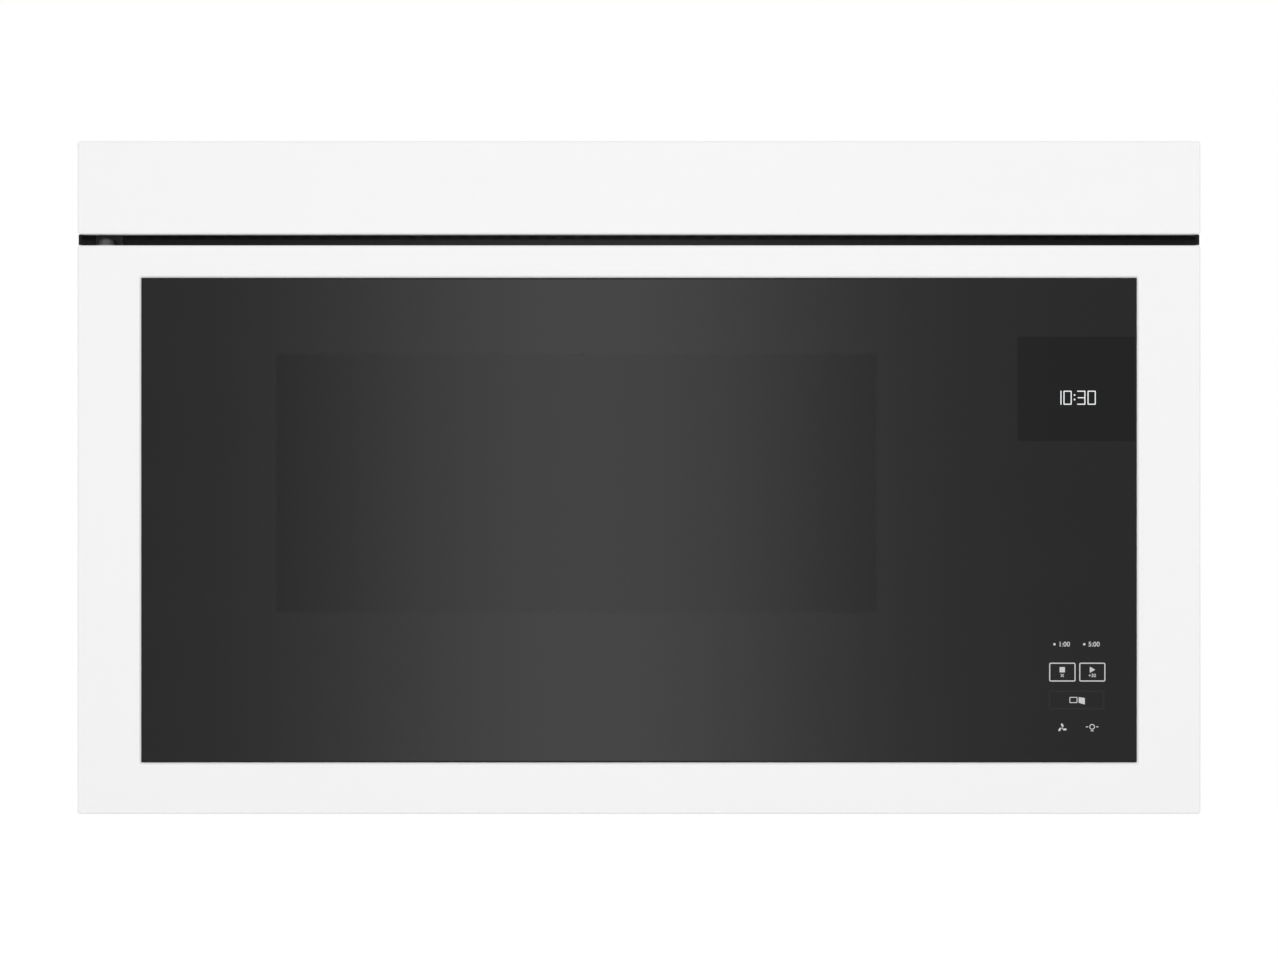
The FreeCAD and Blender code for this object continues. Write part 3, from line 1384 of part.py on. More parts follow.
def hinge_screws():
    """Low-head screws that hold each hinge leg to the front frame."""
    screws = []
    for arm_top, thickness in ((upper_arm_top(), upper_leg_thickness),
                               (lower_arm_top(), lower_leg_thickness)):
        y = frame_y - thickness
        for z in hinge_screw_points(arm_top):
            head = bar_y(pin_x, y - hinge_screw_head_height, y, z, screw_head_radius)
            screws.append(joined([head, bar_y(pin_x, y, frame_back_y + sheet, z, screw_shank_radius)]))
    return screws


def door_glass():
    """Dark outer glass over the window and the controls."""
    half = opening_x - glass_gap
    return block(-half, half, glass_y0, glass_y1, opening_z0 + glass_gap, opening_z1 - glass_gap)


def display_module():
    """Clock display behind the glass, with its own bezel."""
    half_x, half_z = display_width / 2, display_height / 2
    return block(display_x - half_x, display_x + half_x, glass_y1, glass_y1 + display_thickness,
                 display_z - half_z, display_z + half_z)


def touch_board():
    """Touch-key board behind the glass, with a sensing pad for each key."""
    x0, x1 = touch_board_x - touch_board_width / 2, touch_board_x + touch_board_width / 2
    y0 = glass_y1 + touch_pad_thickness
    z0, z1 = touch_board_z, touch_board_z + touch_board_height
    solids = [block(x0, x1, y0, y0 + touch_board_thickness, z0, z1)]
    for row in range(touch_pad_rows):
        for side in (-1, 1):
            x = touch_board_x + side * touch_board_width / 4
            z = z0 + (row + 0.5) * touch_pad_pitch
            half = touch_pad_size / 2
            solids.append(block(x - half, x + half, glass_y1, y0, z - half, z + half))
    return joined(solids)


def door_screw_points():
    """(x, z) of the screws that hold the liner to the posts of the steel panel."""
    xs = [-half_width + door_screw_inset, cavity_centre_x, half_width - door_screw_inset]
    zs = [door_bottom + door_screw_rise, door_top - door_screw_drop]
    return [(x, z) for x in xs for z in zs]


def door_panel():
    """Steel inner panel of the door, with its window, the posts for the liner and the latch's guides."""
    gap = part_fit_gap
    x0 = pin_x + hinge_notch_reach + 2 * moulding_wall
    z0, z1 = door_bottom + moulding_wall + gap, door_top - moulding_wall - gap
    plate = block(x0, half_width - moulding_wall - gap, panel_y, panel_y + sheet, z0, z1)
    posts = [bar_y(x, panel_y + sheet, rim_y - moulding_wall, z, liner_post_radius)
             for x, z in door_screw_points()]
    bores = [bar_y(x, panel_y + sheet, rim_y - moulding_wall, z, screw_shank_radius)
             for x, z in door_screw_points()]
    window = block(window_x0, window_x1, panel_y, panel_y + sheet, window_z0, window_z1)
    return drilled(joined([plate] + posts + latch_guides()), bores + [window])


def window_screen():
    """Perforated screen across the door window."""
    lap = screen_lap
    return block(window_x0 - lap, window_x1 + lap, panel_y - screen_thickness, panel_y,
                 window_z0 - lap, window_z1 + lap)


def choke_outline(y0, y1, grow):
    """Block that covers the cavity opening and the choke round it."""
    reach = choke_reach + grow
    return rounded_block(cavity_x0 - reach, cavity_x1 + reach, y0, y1, cavity_floor_z - reach,
                         cavity_ceiling_z + reach, choke_corner_radius + grow, AXIS_Y)


def window_block(y0, y1, grow):
    """Block as large as the door window, grown by a margin."""
    return block(window_x0 - grow, window_x1 + grow, y0, y1, window_z0 - grow, window_z1 + grow)


def choke_frame():
    """Folded steel frame round the window: a hollow channel open to the cavity seam through a slot."""
    y0, y1 = panel_y + sheet, choke_back_y
    wall = choke_wall
    ring = choke_outline(y0, y1, 0).cut(window_block(y0, y1, choke_window_margin))
    hollow = choke_outline(y0 + wall, y1 - wall, -wall)
    hollow = hollow.cut(window_block(y0 + wall, y1 - wall, choke_window_margin + wall))
    slot = choke_outline(y1 - wall, y1, -choke_slot_inset)
    slot = slot.cut(choke_outline(y1 - wall, y1, -choke_slot_inset - choke_slot_width))
    return drilled(ring, [hollow, slot])


def choke_cover():
    """Moulded cover over the choke, the rearmost face of the closed door."""
    y0, y1 = choke_back_y, choke_back_y + choke_cover_thickness
    ring = choke_outline(y0, y1, 0)
    outer_edge = [e for e in ring.Edges if e.BoundBox.YMin > y1 - tolerance]
    ring = ring.makeFillet(choke_cover_thickness / 2, outer_edge)
    return ring.cut(window_block(y0, y1, choke_window_margin - inner_glass_lap))


def inner_glass():
    """Clear pane on the cavity side of the door window."""
    return window_block(choke_back_y - inner_glass_thickness, choke_back_y,
                        choke_window_margin - part_fit_gap)


def door_liner():
    """Moulded cover that closes the back of the door round the choke."""
    gap = part_fit_gap
    inner = half_width - moulding_wall - gap
    y0, y1 = rim_y - moulding_wall, rim_y
    plate = block(-inner, inner, y0, y1, door_bottom + moulding_wall + gap,
                  door_top - moulding_wall - gap)
    corner = block(-half_width, pin_x + hinge_notch_reach + moulding_wall + gap, y0, y1, door_bottom,
                   hinge_notch_top() + moulding_wall + gap)
    cutters = [choke_outline(y0, y1, gap), corner, latch_slot(y0, y1, hook_z_low),
               latch_slot(y0, y1, hook_z_high)]
    radius = screw_shank_radius + screw_hole_clearance
    cutters += [bar_y(x, y0, y1, z, radius) for x, z in door_screw_points()]
    return drilled(plate, cutters)


def door_screws():
    """Screws that hold the liner to the steel panel's posts, heads towards the oven."""
    screws = []
    for x, z in door_screw_points():
        head = bar_y(x, rim_y, rim_y + screw_head_height, z, screw_head_radius)
        screws.append(joined([head, bar_y(x, rim_y - door_screw_grip, rim_y, z, screw_shank_radius)]))
    return Part.makeCompound(screws)


# ---------------------------------------------------------------- latch and release
def latch_bar_y0():
    """Front face of the latch bar inside the door."""
    return face_y + latch_bar_setback


def latch_bar():
    """Sliding bar with two hooks that reach through the front frame."""
    half = latch_bar_width / 2
    y0 = latch_bar_y0()
    bar = block(latch_x - half, latch_x + half, y0, y0 + latch_bar_depth,
                hook_z_low - hook_end_margin, hook_z_high + hook_height + hook_end_margin)
    solids = [bar]
    for z in (hook_z_low, hook_z_high):
        arm = block(latch_x - hook_width / 2, latch_x + hook_width / 2, y0, hook_tip_y, z,
                    z + hook_height)
        nose = block(latch_x - hook_width / 2, latch_x + hook_width / 2, nose_y0, hook_tip_y,
                     z - hook_nose_drop, z)
        solids += [arm, nose]
    solid = joined(solids)
    tips = [e for e in edges_along(solid, AXIS_X) if e.BoundBox.YMin > hook_tip_y - tolerance]
    return solid.makeFillet(hook_nose_drop / 2, tips)


def latch_guides():
    """Tabs on the steel inner panel that the latch bar slides between, and the spring's lower peg."""
    half = latch_bar_width / 2 + latch_clearance
    wall = latch_guide_thickness
    y0 = panel_y + sheet
    y1 = latch_bar_y0() + latch_bar_depth
    middle = (hook_z_low + hook_z_high + hook_height) / 2
    z0, z1 = middle - hook_end_margin, middle + hook_end_margin
    sides = [block(latch_x + half, latch_x + half + wall, y0, y1, z0, z1),
             block(latch_x - half - wall, latch_x - half, y0, y1, z0, z1)]
    peg_z = latch_spring_bottom()
    peg = block(latch_x - spring_radius, latch_x + spring_radius, y0, y1, peg_z - wall, peg_z)
    return sides + [peg]


def latch_spring_bottom():
    """Lower end of the latch spring."""
    return hook_z_low - hook_end_margin - spring_turns * spring_pitch - 2 * spring_plug_height


def latch_spring():
    """Extension spring that pulls the latch bar down: a helix held in a plug at each end."""
    y = latch_bar_y0() + latch_bar_depth / 2
    z0 = latch_spring_bottom()
    z1 = z0 + spring_plug_height
    z2 = z1 + spring_turns * spring_pitch
    helix = Part.makeHelix(spring_pitch, z2 - z1, spring_radius)
    circle = Part.Wire(Part.makeCircle(spring_wire / 2, Vector(spring_radius, 0, 0), AXIS_Y))
    coil = Part.Wire(helix.Edges).makePipeShell([circle], True, True)
    coil.translate(Vector(latch_x, y, z1))
    plug_radius = spring_radius + spring_wire
    plugs = [post(latch_x, y, z0, z1, plug_radius),
             post(latch_x, y, z2, z2 + spring_plug_height, plug_radius)]
    return joined([coil] + plugs)


def latch_housing():
    """Channel behind the front frame that the hooks enter, with its shelves for the switches."""
    wall, half = housing_wall, housing_half_width
    z0, z1 = hook_z_low - housing_margin_low, hook_z_high + housing_margin_high
    outer = block(latch_x - half, latch_x + half, frame_back_y, housing_y1, z0, z1)
    inside = block(latch_x - half + wall, latch_x + half - wall, frame_back_y, housing_y1 - wall,
                   z0 + wall, z1 - wall)
    shell = outer.cut(inside)
    solids = [shell]
    for z in (hook_z_low, hook_z_high):
        top = switch_top(z) - switch_height
        solids.append(block(latch_x - half, latch_x + half, switch_front_y(), housing_y1,
                            top - wall, top))
    exit_half = solenoid_plunger_radius + latch_clearance
    exit_slot = block(lifter_x() - exit_half, lifter_x() + exit_half, frame_back_y,
                      lifter_y() + exit_half, z0, z0 + wall)
    return drilled(joined(solids), [exit_slot])


def switch_top(hook_z):
    """Top face of a switch below a hook."""
    return hook_z - hook_nose_drop - latch_clearance - switch_plunger_proud


def switch_front_y():
    """Front face of the door switches."""
    return nose_y0 + switch_offset_y


def interlock_switches():
    """Door switches: one below the upper hook and two side by side below the lower one."""
    solids = []
    y0 = switch_front_y()
    y1 = y0 + switch_depth
    plan = [(hook_z_high, 0.0), (hook_z_low, -0.5), (hook_z_low, 0.5)]
    for hook_z, shift in plan:
        x = latch_x + shift * switch_width
        z1 = switch_top(hook_z)
        body = block(x - switch_width / 2, x + switch_width / 2, y0, y1, z1 - switch_height, z1)
        bore = post(plunger_x(shift), plunger_y(), z1 - switch_plunger_length, z1,
                    switch_plunger_radius + shaft_running_clearance)
        solids.append(body.cut(bore))
    return Part.makeCompound(solids)


def plunger_x(shift):
    """x of a switch plunger; the lower two stand close together under one hook."""
    return latch_x + shift * 2 * (switch_plunger_radius + latch_clearance)


def plunger_y():
    """y of the switch plungers, under the hooks' noses."""
    return switch_front_y() + switch_plunger_radius + latch_clearance


def switch_plungers():
    """The three switch buttons that the hooks hold down."""
    solids = []
    for hook_z, shift in [(hook_z_high, 0.0), (hook_z_low, -0.5), (hook_z_low, 0.5)]:
        z1 = hook_z - hook_nose_drop - latch_clearance
        z0 = switch_top(hook_z) - switch_plunger_length + switch_plunger_proud
        solids.append(post(plunger_x(shift), plunger_y(), z0, z1, switch_plunger_radius))
    return Part.makeCompound(solids)


def lifter_x():
    """x of the release lifter's rod."""
    return latch_x - housing_half_width + housing_wall + latch_clearance + lifter_rod_width / 2


def lifter_y():
    """y of the release lifter's rod, level with the front half of the hooks' noses."""
    return nose_y0 + lifter_finger_length / 2


def release_lifter():
    """Rod with a finger under each hook's nose and the solenoid's plunger at its foot."""
    half_rod = lifter_rod_width / 2
    half_y = lifter_finger_length / 2 - latch_clearance
    x, y = lifter_x(), lifter_y()
    foot_z = hook_z_low - housing_margin_low
    solids = []
    tops = [z - hook_nose_drop - latch_clearance for z in (hook_z_low, hook_z_high)]
    rod_bottom = foot_z + housing_wall + latch_clearance
    solids.append(block(x - half_rod, x + half_rod, y - half_y, y + half_y, rod_bottom, tops[1]))
    for top in tops:
        solids.append(block(x - half_rod, latch_x + hook_width / 2, y - half_y, y + half_y,
                            top - lifter_finger_thickness, top))
    solids.append(post(x, y, foot_z - solenoid_plunger_length, rod_bottom, solenoid_plunger_radius))
    return joined(solids)


def release_solenoid():
    """Solenoid below the latch housing that drives the lifter."""
    x, y = lifter_x(), lifter_y()
    z1 = hook_z_low - housing_margin_low
    z0 = z1 - solenoid_height
    body = centred_block(x, y, solenoid_width, solenoid_depth, z0, z1)
    bore = post(x, y, z0, z1, solenoid_plunger_radius + shaft_running_clearance)
    return body.cut(bore)


# ---------------------------------------------------------------- writing the sub-parts
SUBPARTS = {
    "left_side_panel": lambda: side_panel(-1),
    "right_side_panel": lambda: side_panel(1),
    "top_panel": top_panel,
    "base_pan": base_pan,
    "back_panel": back_panel,
    "rear_duct_cover": rear_duct_cover,
    "front_frame": front_frame,
    "mounting_nuts": mounting_nuts,
    "case_screws": case_screws,
    "cord_gland": cord_gland,
    "top_fascia": top_fascia,
    "vent_grille": vent_grille,
    "charcoal_filter": charcoal_filter,
    "cavity_floor": cavity_floor,
    "cavity_ceiling": cavity_ceiling,
    "cavity_side_walls": cavity_side_walls,
    "cavity_back_wall": cavity_back_wall,
    "cavity_lamp_lens": cavity_lamp_lens,
    "cavity_lamp": cavity_lamp,
    "ceramic_shelf": ceramic_shelf,
    "waveguide": waveguide,
    "stirrer": stirrer,
    "stirrer_motor": stirrer_motor,
    "magnetron": magnetron,
    "hv_transformer": hv_transformer,
    "hv_capacitor": hv_capacitor,
    "power_board": power_board,
    "fan_shroud": fan_shroud,
    "fan_motor": fan_motor,
    "cooling_fan": cooling_fan,
    "blower_housing": blower_housing,
    "blower_motor": blower_motor,
    "blower_rotor": blower_rotor,
    "grease_filter_left": lambda: grease_filter(-1),
    "grease_filter_right": lambda: grease_filter(1),
    "hood_lenses": hood_lenses,
    "hood_lamp_boards": hood_lamp_boards,
    "upper_hinge": upper_hinge,
    "lower_hinge": lower_hinge,
    "hinge_pins": hinge_pins,
    "hinge_bushes": hinge_bushes,
    "door_frame": door_frame,
    "door_glass": door_glass,
    "display_module": display_module,
    "touch_board": touch_board,
    "door_panel": door_panel,
    "window_screen": window_screen,
    "choke_frame": choke_frame,
    "choke_cover": choke_cover,
    "inner_glass": inner_glass,
    "door_liner": door_liner,
    "door_screws": door_screws,
    "latch_bar": latch_bar,
    "latch_spring": latch_spring,
    "latch_housing": latch_housing,
    "interlock_switches": interlock_switches,
    "switch_plungers": switch_plungers,
    "release_lifter": release_lifter,
    "release_solenoid": release_solenoid,
}


def main():
    os.makedirs("parts", exist_ok=True)
    for name, make in SUBPARTS.items():
        shape = make()
        shape.exportStep(f"parts/{name}.step")
        print(f"{name}: {len(shape.Solids)} solids, {shape.Volume / 1000:.1f} cm3, valid {shape.isValid()}")


main()
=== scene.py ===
"""Over-the-range microwave oven: its finishes, prints, small pieces and studio, around its solid model."""

import json
import math

import bmesh
import bpy
from bpy.props import FloatProperty, FloatVectorProperty, PointerProperty, StringProperty
from mathutils import Matrix, Vector


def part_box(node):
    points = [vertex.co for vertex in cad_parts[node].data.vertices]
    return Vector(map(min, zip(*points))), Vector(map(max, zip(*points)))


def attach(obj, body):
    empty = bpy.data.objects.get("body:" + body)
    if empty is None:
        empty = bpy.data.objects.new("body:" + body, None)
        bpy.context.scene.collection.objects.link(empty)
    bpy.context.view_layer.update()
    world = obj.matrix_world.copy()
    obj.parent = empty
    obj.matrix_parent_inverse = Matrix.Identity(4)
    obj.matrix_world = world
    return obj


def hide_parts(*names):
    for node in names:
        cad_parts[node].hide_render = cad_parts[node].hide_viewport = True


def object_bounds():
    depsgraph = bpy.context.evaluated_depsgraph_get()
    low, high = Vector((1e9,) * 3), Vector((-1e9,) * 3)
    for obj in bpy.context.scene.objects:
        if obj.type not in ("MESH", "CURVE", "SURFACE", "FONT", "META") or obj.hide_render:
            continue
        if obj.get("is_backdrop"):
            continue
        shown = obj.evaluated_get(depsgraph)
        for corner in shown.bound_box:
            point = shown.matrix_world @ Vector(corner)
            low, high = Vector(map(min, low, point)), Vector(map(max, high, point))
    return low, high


bl_info = {
    "name": "Over-the-Range Microwave",
    "version": (1, 0, 0),
    "blender": (4, 5, 0),
    "location": "3D View > Sidebar > Oven",
    "description": "Dresses the microwave's frame: "
                   "finishes, printed keys, clock, screws, lenses, filters and studio",
    "category": "Object",
}

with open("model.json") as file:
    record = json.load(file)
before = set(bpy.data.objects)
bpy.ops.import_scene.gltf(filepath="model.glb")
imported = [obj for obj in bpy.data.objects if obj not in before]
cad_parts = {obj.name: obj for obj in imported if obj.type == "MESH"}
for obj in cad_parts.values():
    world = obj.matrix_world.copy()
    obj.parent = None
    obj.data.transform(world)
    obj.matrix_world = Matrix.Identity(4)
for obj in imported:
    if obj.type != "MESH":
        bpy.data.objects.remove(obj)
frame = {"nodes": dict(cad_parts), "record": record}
frame_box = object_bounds()
record = frame["record"]
base_colours = {entry["slot"]: entry["base_color"] for entry in record["materials"]}

MM = 0.001
ORIGIN = (0.0, 0.0, 0.0)
GLASS_LOW, GLASS_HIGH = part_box("door_glass")
GLASS_FACE = GLASS_LOW.y
FILTER_RIM = 9.2 * MM  # width of a grease filter's folded frame
LENS_WIDTH, LENS_LENGTH = 54.0, 100.0  # of one cooktop lamp's lens, in millimetres
NOISE_RUN = (0.3, 0.7)  # where most of a noise's values lie
ALONG_X = (60.0, 2600.0, 2600.0)  # how noise is squeezed into lines along X


# Node trees


def shaded(colour, factor):
    """A colour made darker or lighter by a factor."""
    return tuple(min(channel * factor, 1.0) for channel in colour[:3])


class Tree:
    """Short calls that place and join the nodes of one tree."""

    def __init__(self, tree):
        self.tree = tree
        tree.nodes.clear()

    def add(self, kind, inputs=None, **settings):
        node = self.tree.nodes.new(kind)
        for key, value in settings.items():
            setattr(node, key, value)
        for key, value in (inputs or {}).items():
            self.feed(node.inputs[key], value)
        return node

    def feed(self, socket, value):
        if isinstance(value, bpy.types.NodeSocket):
            self.tree.links.new(value, socket)
        else:
            socket.default_value = value

    def math(self, operation, first, second=0.0, clamp=False):
        node = self.add("ShaderNodeMath", {0: first, 1: second}, operation=operation, use_clamp=clamp)
        return node.outputs[0]

    def vector(self, operation, first, second=ORIGIN):
        return self.add("ShaderNodeVectorMath", {0: first, 1: second}, operation=operation).outputs[0]

    def axes(self, vector):
        """The three numbers of a vector, as sockets."""
        return self.add("ShaderNodeSeparateXYZ", {0: vector}).outputs

    def channels(self, colour):
        """The three numbers of a colour, as sockets."""
        return self.add("ShaderNodeSeparateColor", {0: colour}).outputs

    def span(self, value, low, high, start=0.0, end=1.0):
        """Maps the value's run from start to end onto low to high and holds it there."""
        keys = ("Value", "From Min", "From Max", "To Min", "To Max")
        return self.add("ShaderNodeMapRange", dict(zip(keys, (value, start, end, low, high)))).outputs[0]

    def mix(self, mask, first, second):
        """The first number where the mask is 0 and the second where it is 1."""
        return self.add("ShaderNodeMix", {0: mask, 2: first, 3: second}).outputs[0]

    def blend(self, mask, first, second):
        """The first colour where the mask is 0 and the second where it is 1."""
        node = self.add("ShaderNodeMix", {0: mask}, data_type="RGBA")
        for socket, colour in zip(node.inputs[6:8], (first, second)):
            self.feed(socket, colour if isinstance(colour, bpy.types.NodeSocket) else (*colour[:3], 1.0))
        return node.outputs[2]

    def tones(self, mask, colour, spread):
        """A colour, darker by the spread where the mask is 0 and lighter by it where it is 1."""
        return self.blend(mask, shaded(colour, 1.0 - spread), shaded(colour, 1.0 + spread))

    def noise(self, vector, scale, detail=2.0, roughness=0.5, output=0):
        inputs = {"Vector": vector, "Scale": scale, "Detail": detail, "Roughness": roughness}
        return self.add("ShaderNodeTexNoise", inputs).outputs[output]

    def cells(self, vector, scale, output="Distance", **settings):
        inputs = {"Vector": vector, "Scale": scale}
        return self.add("ShaderNodeTexVoronoi", inputs, **settings).outputs[output]

    def scaled(self, vector, size, turn=ORIGIN):
        return self.add("ShaderNodeMapping", {"Vector": vector, "Scale": size, "Rotation": turn}).outputs[0]


SOCKET_KINDS = {float: "NodeSocketFloat", tuple: "NodeSocketVector"}


def effect(*outputs, **inputs):
    """Turns a function that fills a tree into a shared effect: a node group, made when first placed."""

    def wrap(fill):
        name = fill.__name__.replace("_", " ").title()

        def make_group():
            group = bpy.data.node_groups.new(name, "ShaderNodeTree")
            tree = Tree(group)
            for key, default in {"Vector": ORIGIN, **inputs}.items():
                kind = SOCKET_KINDS[type(default)]
                group.interface.new_socket(key, in_out="INPUT", socket_type=kind).default_value = default
            for key in outputs:
                group.interface.new_socket(key, in_out="OUTPUT", socket_type="NodeSocketFloat")
            given = tree.add("NodeGroupInput").outputs
            results = fill(tree, *[given[key] for key in ("Vector", *inputs)])
            tree.add("NodeGroupOutput", dict(zip(outputs, results)))
            return group

        def place(tree, vector, **values):
            group = bpy.data.node_groups.get(name) or make_group()
            return tree.add("ShaderNodeGroup", {"Vector": vector, **values}, node_tree=group).outputs

        return place

    return wrap


@effect("Tone", "Height", Scale=1800.0)
def moulded_grain(tree, vector, scale):
    """Fine spark-eroded texture of a moulding, with slow changes of tone."""
    return tree.noise(vector, 9.0), tree.noise(vector, scale, 3.0, 0.6)


@effect("Tone", "Height", Scale=420.0)
def orange_peel(tree, vector, scale):
    """Soft ripple and slow changes of tone of sprayed or powder-coated sheet."""
    return tree.noise(vector, 6.0, 3.0), tree.noise(vector, scale, 1.0, 0.4)


@effect("Tone", "Sheen", "Height", Scale=210.0)
def zinc_spangle(tree, vector, scale):
    """Crystals of a hot-dip zinc coat: each cell has its own tone and sheen."""
    warp_reach, crystal_share, feather_share = 0.004, 0.7, 0.3
    warp = tree.vector("MULTIPLY", tree.noise(vector, 90.0, output=1), (warp_reach,) * 3)
    crystal = tree.channels(tree.cells(tree.vector("ADD", vector, warp), scale, "Color"))
    feather = tree.noise(vector, 700.0, 3.0)
    shares = tree.math("MULTIPLY", crystal[0], crystal_share), tree.math("MULTIPLY", feather, feather_share)
    return tree.math("ADD", *shares), crystal[1], feather


@effect("Lines", "Tone", Stretch=ALONG_X)
def drawn_lines(tree, vector, stretch):
    """Fine parallel lines that rolling or brushing leaves along one axis."""
    stretched = tree.vector("MULTIPLY", vector, stretch)
    return tree.noise(stretched, 1.0, 4.0, 0.65), tree.noise(vector, 25.0)


@effect("Fleck", "Choice", "Height", Scale=900.0, Size=0.3)
def speckle(tree, vector, scale, size):
    """Small flecks, as in enamel, ground ceramic or granules."""
    distance = tree.cells(vector, scale)
    choice = tree.channels(tree.cells(vector, scale, "Color"))[0]
    return tree.span(distance, 1.0, 0.0, 0.0, size), choice, distance


@effect("Hole", Pitch=0.0019, Radius=0.33)
def punched_holes(tree, vector, pitch, radius):
    """Staggered round holes in an upright sheet: 1 in a hole, 0 on the metal."""
    two_rows, far_corner, soft_edge = math.sqrt(3.0), 50.0, 0.06  # in pitches
    step = tree.math("DIVIDE", 1.0, pitch)
    in_pitches = tree.add("ShaderNodeVectorMath", {0: vector, "Scale": step}, operation="SCALE")
    axes = tree.axes(in_pitches.outputs[0])
    distances = []
    for shift in (0.0, 0.5):
        across = tree.math("FRACT", tree.math("ADD", axes[0], shift + far_corner))
        rows = tree.math("DIVIDE", tree.math("ADD", axes[2], shift * two_rows + far_corner), two_rows)
        centred = tree.add("ShaderNodeCombineXYZ", {
            0: tree.math("SUBTRACT", across, 0.5),
            1: tree.math("MULTIPLY", tree.math("SUBTRACT", tree.math("FRACT", rows), 0.5), two_rows),
        }).outputs[0]
        away = tree.add("ShaderNodeVectorMath", {0: centred}, operation="LENGTH")
        distances.append(away.outputs["Value"])
    nearest = tree.math("MINIMUM", *distances)
    return (tree.span(nearest, 1.0, 0.0, radius, tree.math("ADD", radius, soft_edge)),)


@effect("Mask", Centre=ORIGIN, Half=(0.1, 1.0, 0.1), Edge=0.001)
def box_mask(tree, vector, centre, half, edge):
    """1 inside an upright box across X and Z, 0 outside, with a soft edge."""
    away = tree.vector("ABSOLUTE", tree.vector("SUBTRACT", vector, centre))
    inside = tree.axes(tree.vector("SUBTRACT", half, away))
    nearest = tree.math("MINIMUM", inside[0], inside[2])
    return (tree.math("ADD", tree.math("DIVIDE", nearest, edge), 0.5, clamp=True),)


# Finishes


class Finish(Tree):
    """The tree of a new material, with its shader and its object coordinates."""

    def __init__(self, name, **fixed):
        self.material = bpy.data.materials.new(name)
        self.material.use_nodes = True
        super().__init__(self.material.node_tree)
        self.shader = self.add("ShaderNodeBsdfPrincipled")
        self.set(**fixed)
        output = self.add("ShaderNodeOutputMaterial", {"Surface": self.shader.outputs[0]})
        output.is_active_output = True
        self.place = self.add("ShaderNodeTexCoord").outputs["Object"]

    def set(self, **inputs):
        """Feeds the shader's inputs, whose names have underscores for spaces."""
        for key, value in inputs.items():
            self.feed(self.shader.inputs[key.replace("_", " ")], value)

    def dress(self, colour, rough, height=None, depth=0.0, **others):
        """The material, given its colour, roughness and other inputs, and a bump where there is a height."""
        self.set(Base_Color=colour, Roughness=rough, **others)
        if height is not None:
            bump = self.add("ShaderNodeBump", {"Height": height, "Distance": depth})
            self.set(Normal=bump.outputs[0])
        return self.material


def moulding(name, colour, rough, depth, scale, spread, ior=1.5, specular=0.5):
    """Moulded plastic with a fine grain of some depth and scale."""
    new = Finish(name, IOR=ior, Specular_IOR_Level=specular)
    grain = moulded_grain(new, new.place, Scale=scale)
    polish = new.span(grain["Height"], rough - 0.05, rough + 0.06, *NOISE_RUN)
    return new.dress(new.tones(grain["Tone"], colour, spread), polish, grain["Height"], depth)


def coated_sheet(name, colour, rough, spread):
    """Powder-coated or painted sheet steel."""
    new = Finish(name)
    peel = orange_peel(new, new.place, Scale=420.0)
    polish = new.span(peel["Tone"], rough - 0.04, rough + 0.05, *NOISE_RUN)
    return new.dress(new.tones(peel["Tone"], colour, spread), polish, peel["Height"], 0.03 * MM)


def galvanised_sheet(name, colour):
    """Bare sheet steel with its zinc crystals."""
    new = Finish(name, Metallic=0.9)
    zinc = zinc_spangle(new, new.place)
    shade = new.tones(zinc["Tone"], colour, 0.11)
    return new.dress(shade, new.span(zinc["Sheen"], 0.34, 0.52), zinc["Height"], 0.01 * MM)


def flecked_enamel(name, colour):
    """The cavity's grey enamel with dark and pale flecks."""
    dark, pale = (0.2, 0.205, 0.21), (0.86, 0.87, 0.88)
    bare_below, pale_above = 0.3, 0.55
    new = Finish(name, Specular_IOR_Level=0.6)
    flecks = speckle(new, new.place, Scale=1100.0, Size=0.32)
    peel = orange_peel(new, new.place, Scale=260.0)
    fleck = new.blend(new.math("GREATER_THAN", flecks["Choice"], pale_above), dark, pale)
    shown = new.math("MULTIPLY", flecks["Fleck"], new.math("GREATER_THAN", flecks["Choice"], bare_below))
    shade = new.blend(shown, new.tones(peel["Tone"], colour, 0.04), fleck)
    return new.dress(shade, new.span(peel["Tone"], 0.3, 0.38, *NOISE_RUN), peel["Height"], 0.05 * MM)


def metal(name, colour, rough, stretch, metallic, spread):
    """Rolled, brushed or drawn metal, its lines along the axis that is stretched least."""
    new = Finish(name, Metallic=metallic)
    lines = drawn_lines(new, new.place, Stretch=stretch)
    polish = new.span(lines["Lines"], rough - 0.09, rough + 0.11, *NOISE_RUN)
    return new.dress(new.tones(lines["Tone"], colour, spread), polish, lines["Lines"], 0.006 * MM)


def ground_ceramic(name, colour):
    """The pale shelf, lightly flecked."""
    fleck_colour, fleck_strength = (0.55, 0.55, 0.54), 0.35
    new = Finish(name)
    flecks = speckle(new, new.place, Scale=1500.0, Size=0.25)
    tone = new.noise(new.place, 40.0, 3.0)
    shown = new.math("MULTIPLY", flecks["Fleck"], fleck_strength)
    shade = new.blend(shown, new.tones(tone, colour, 0.03), fleck_colour)
    return new.dress(shade, new.span(tone, 0.3, 0.42, *NOISE_RUN), flecks["Height"], 0.01 * MM)


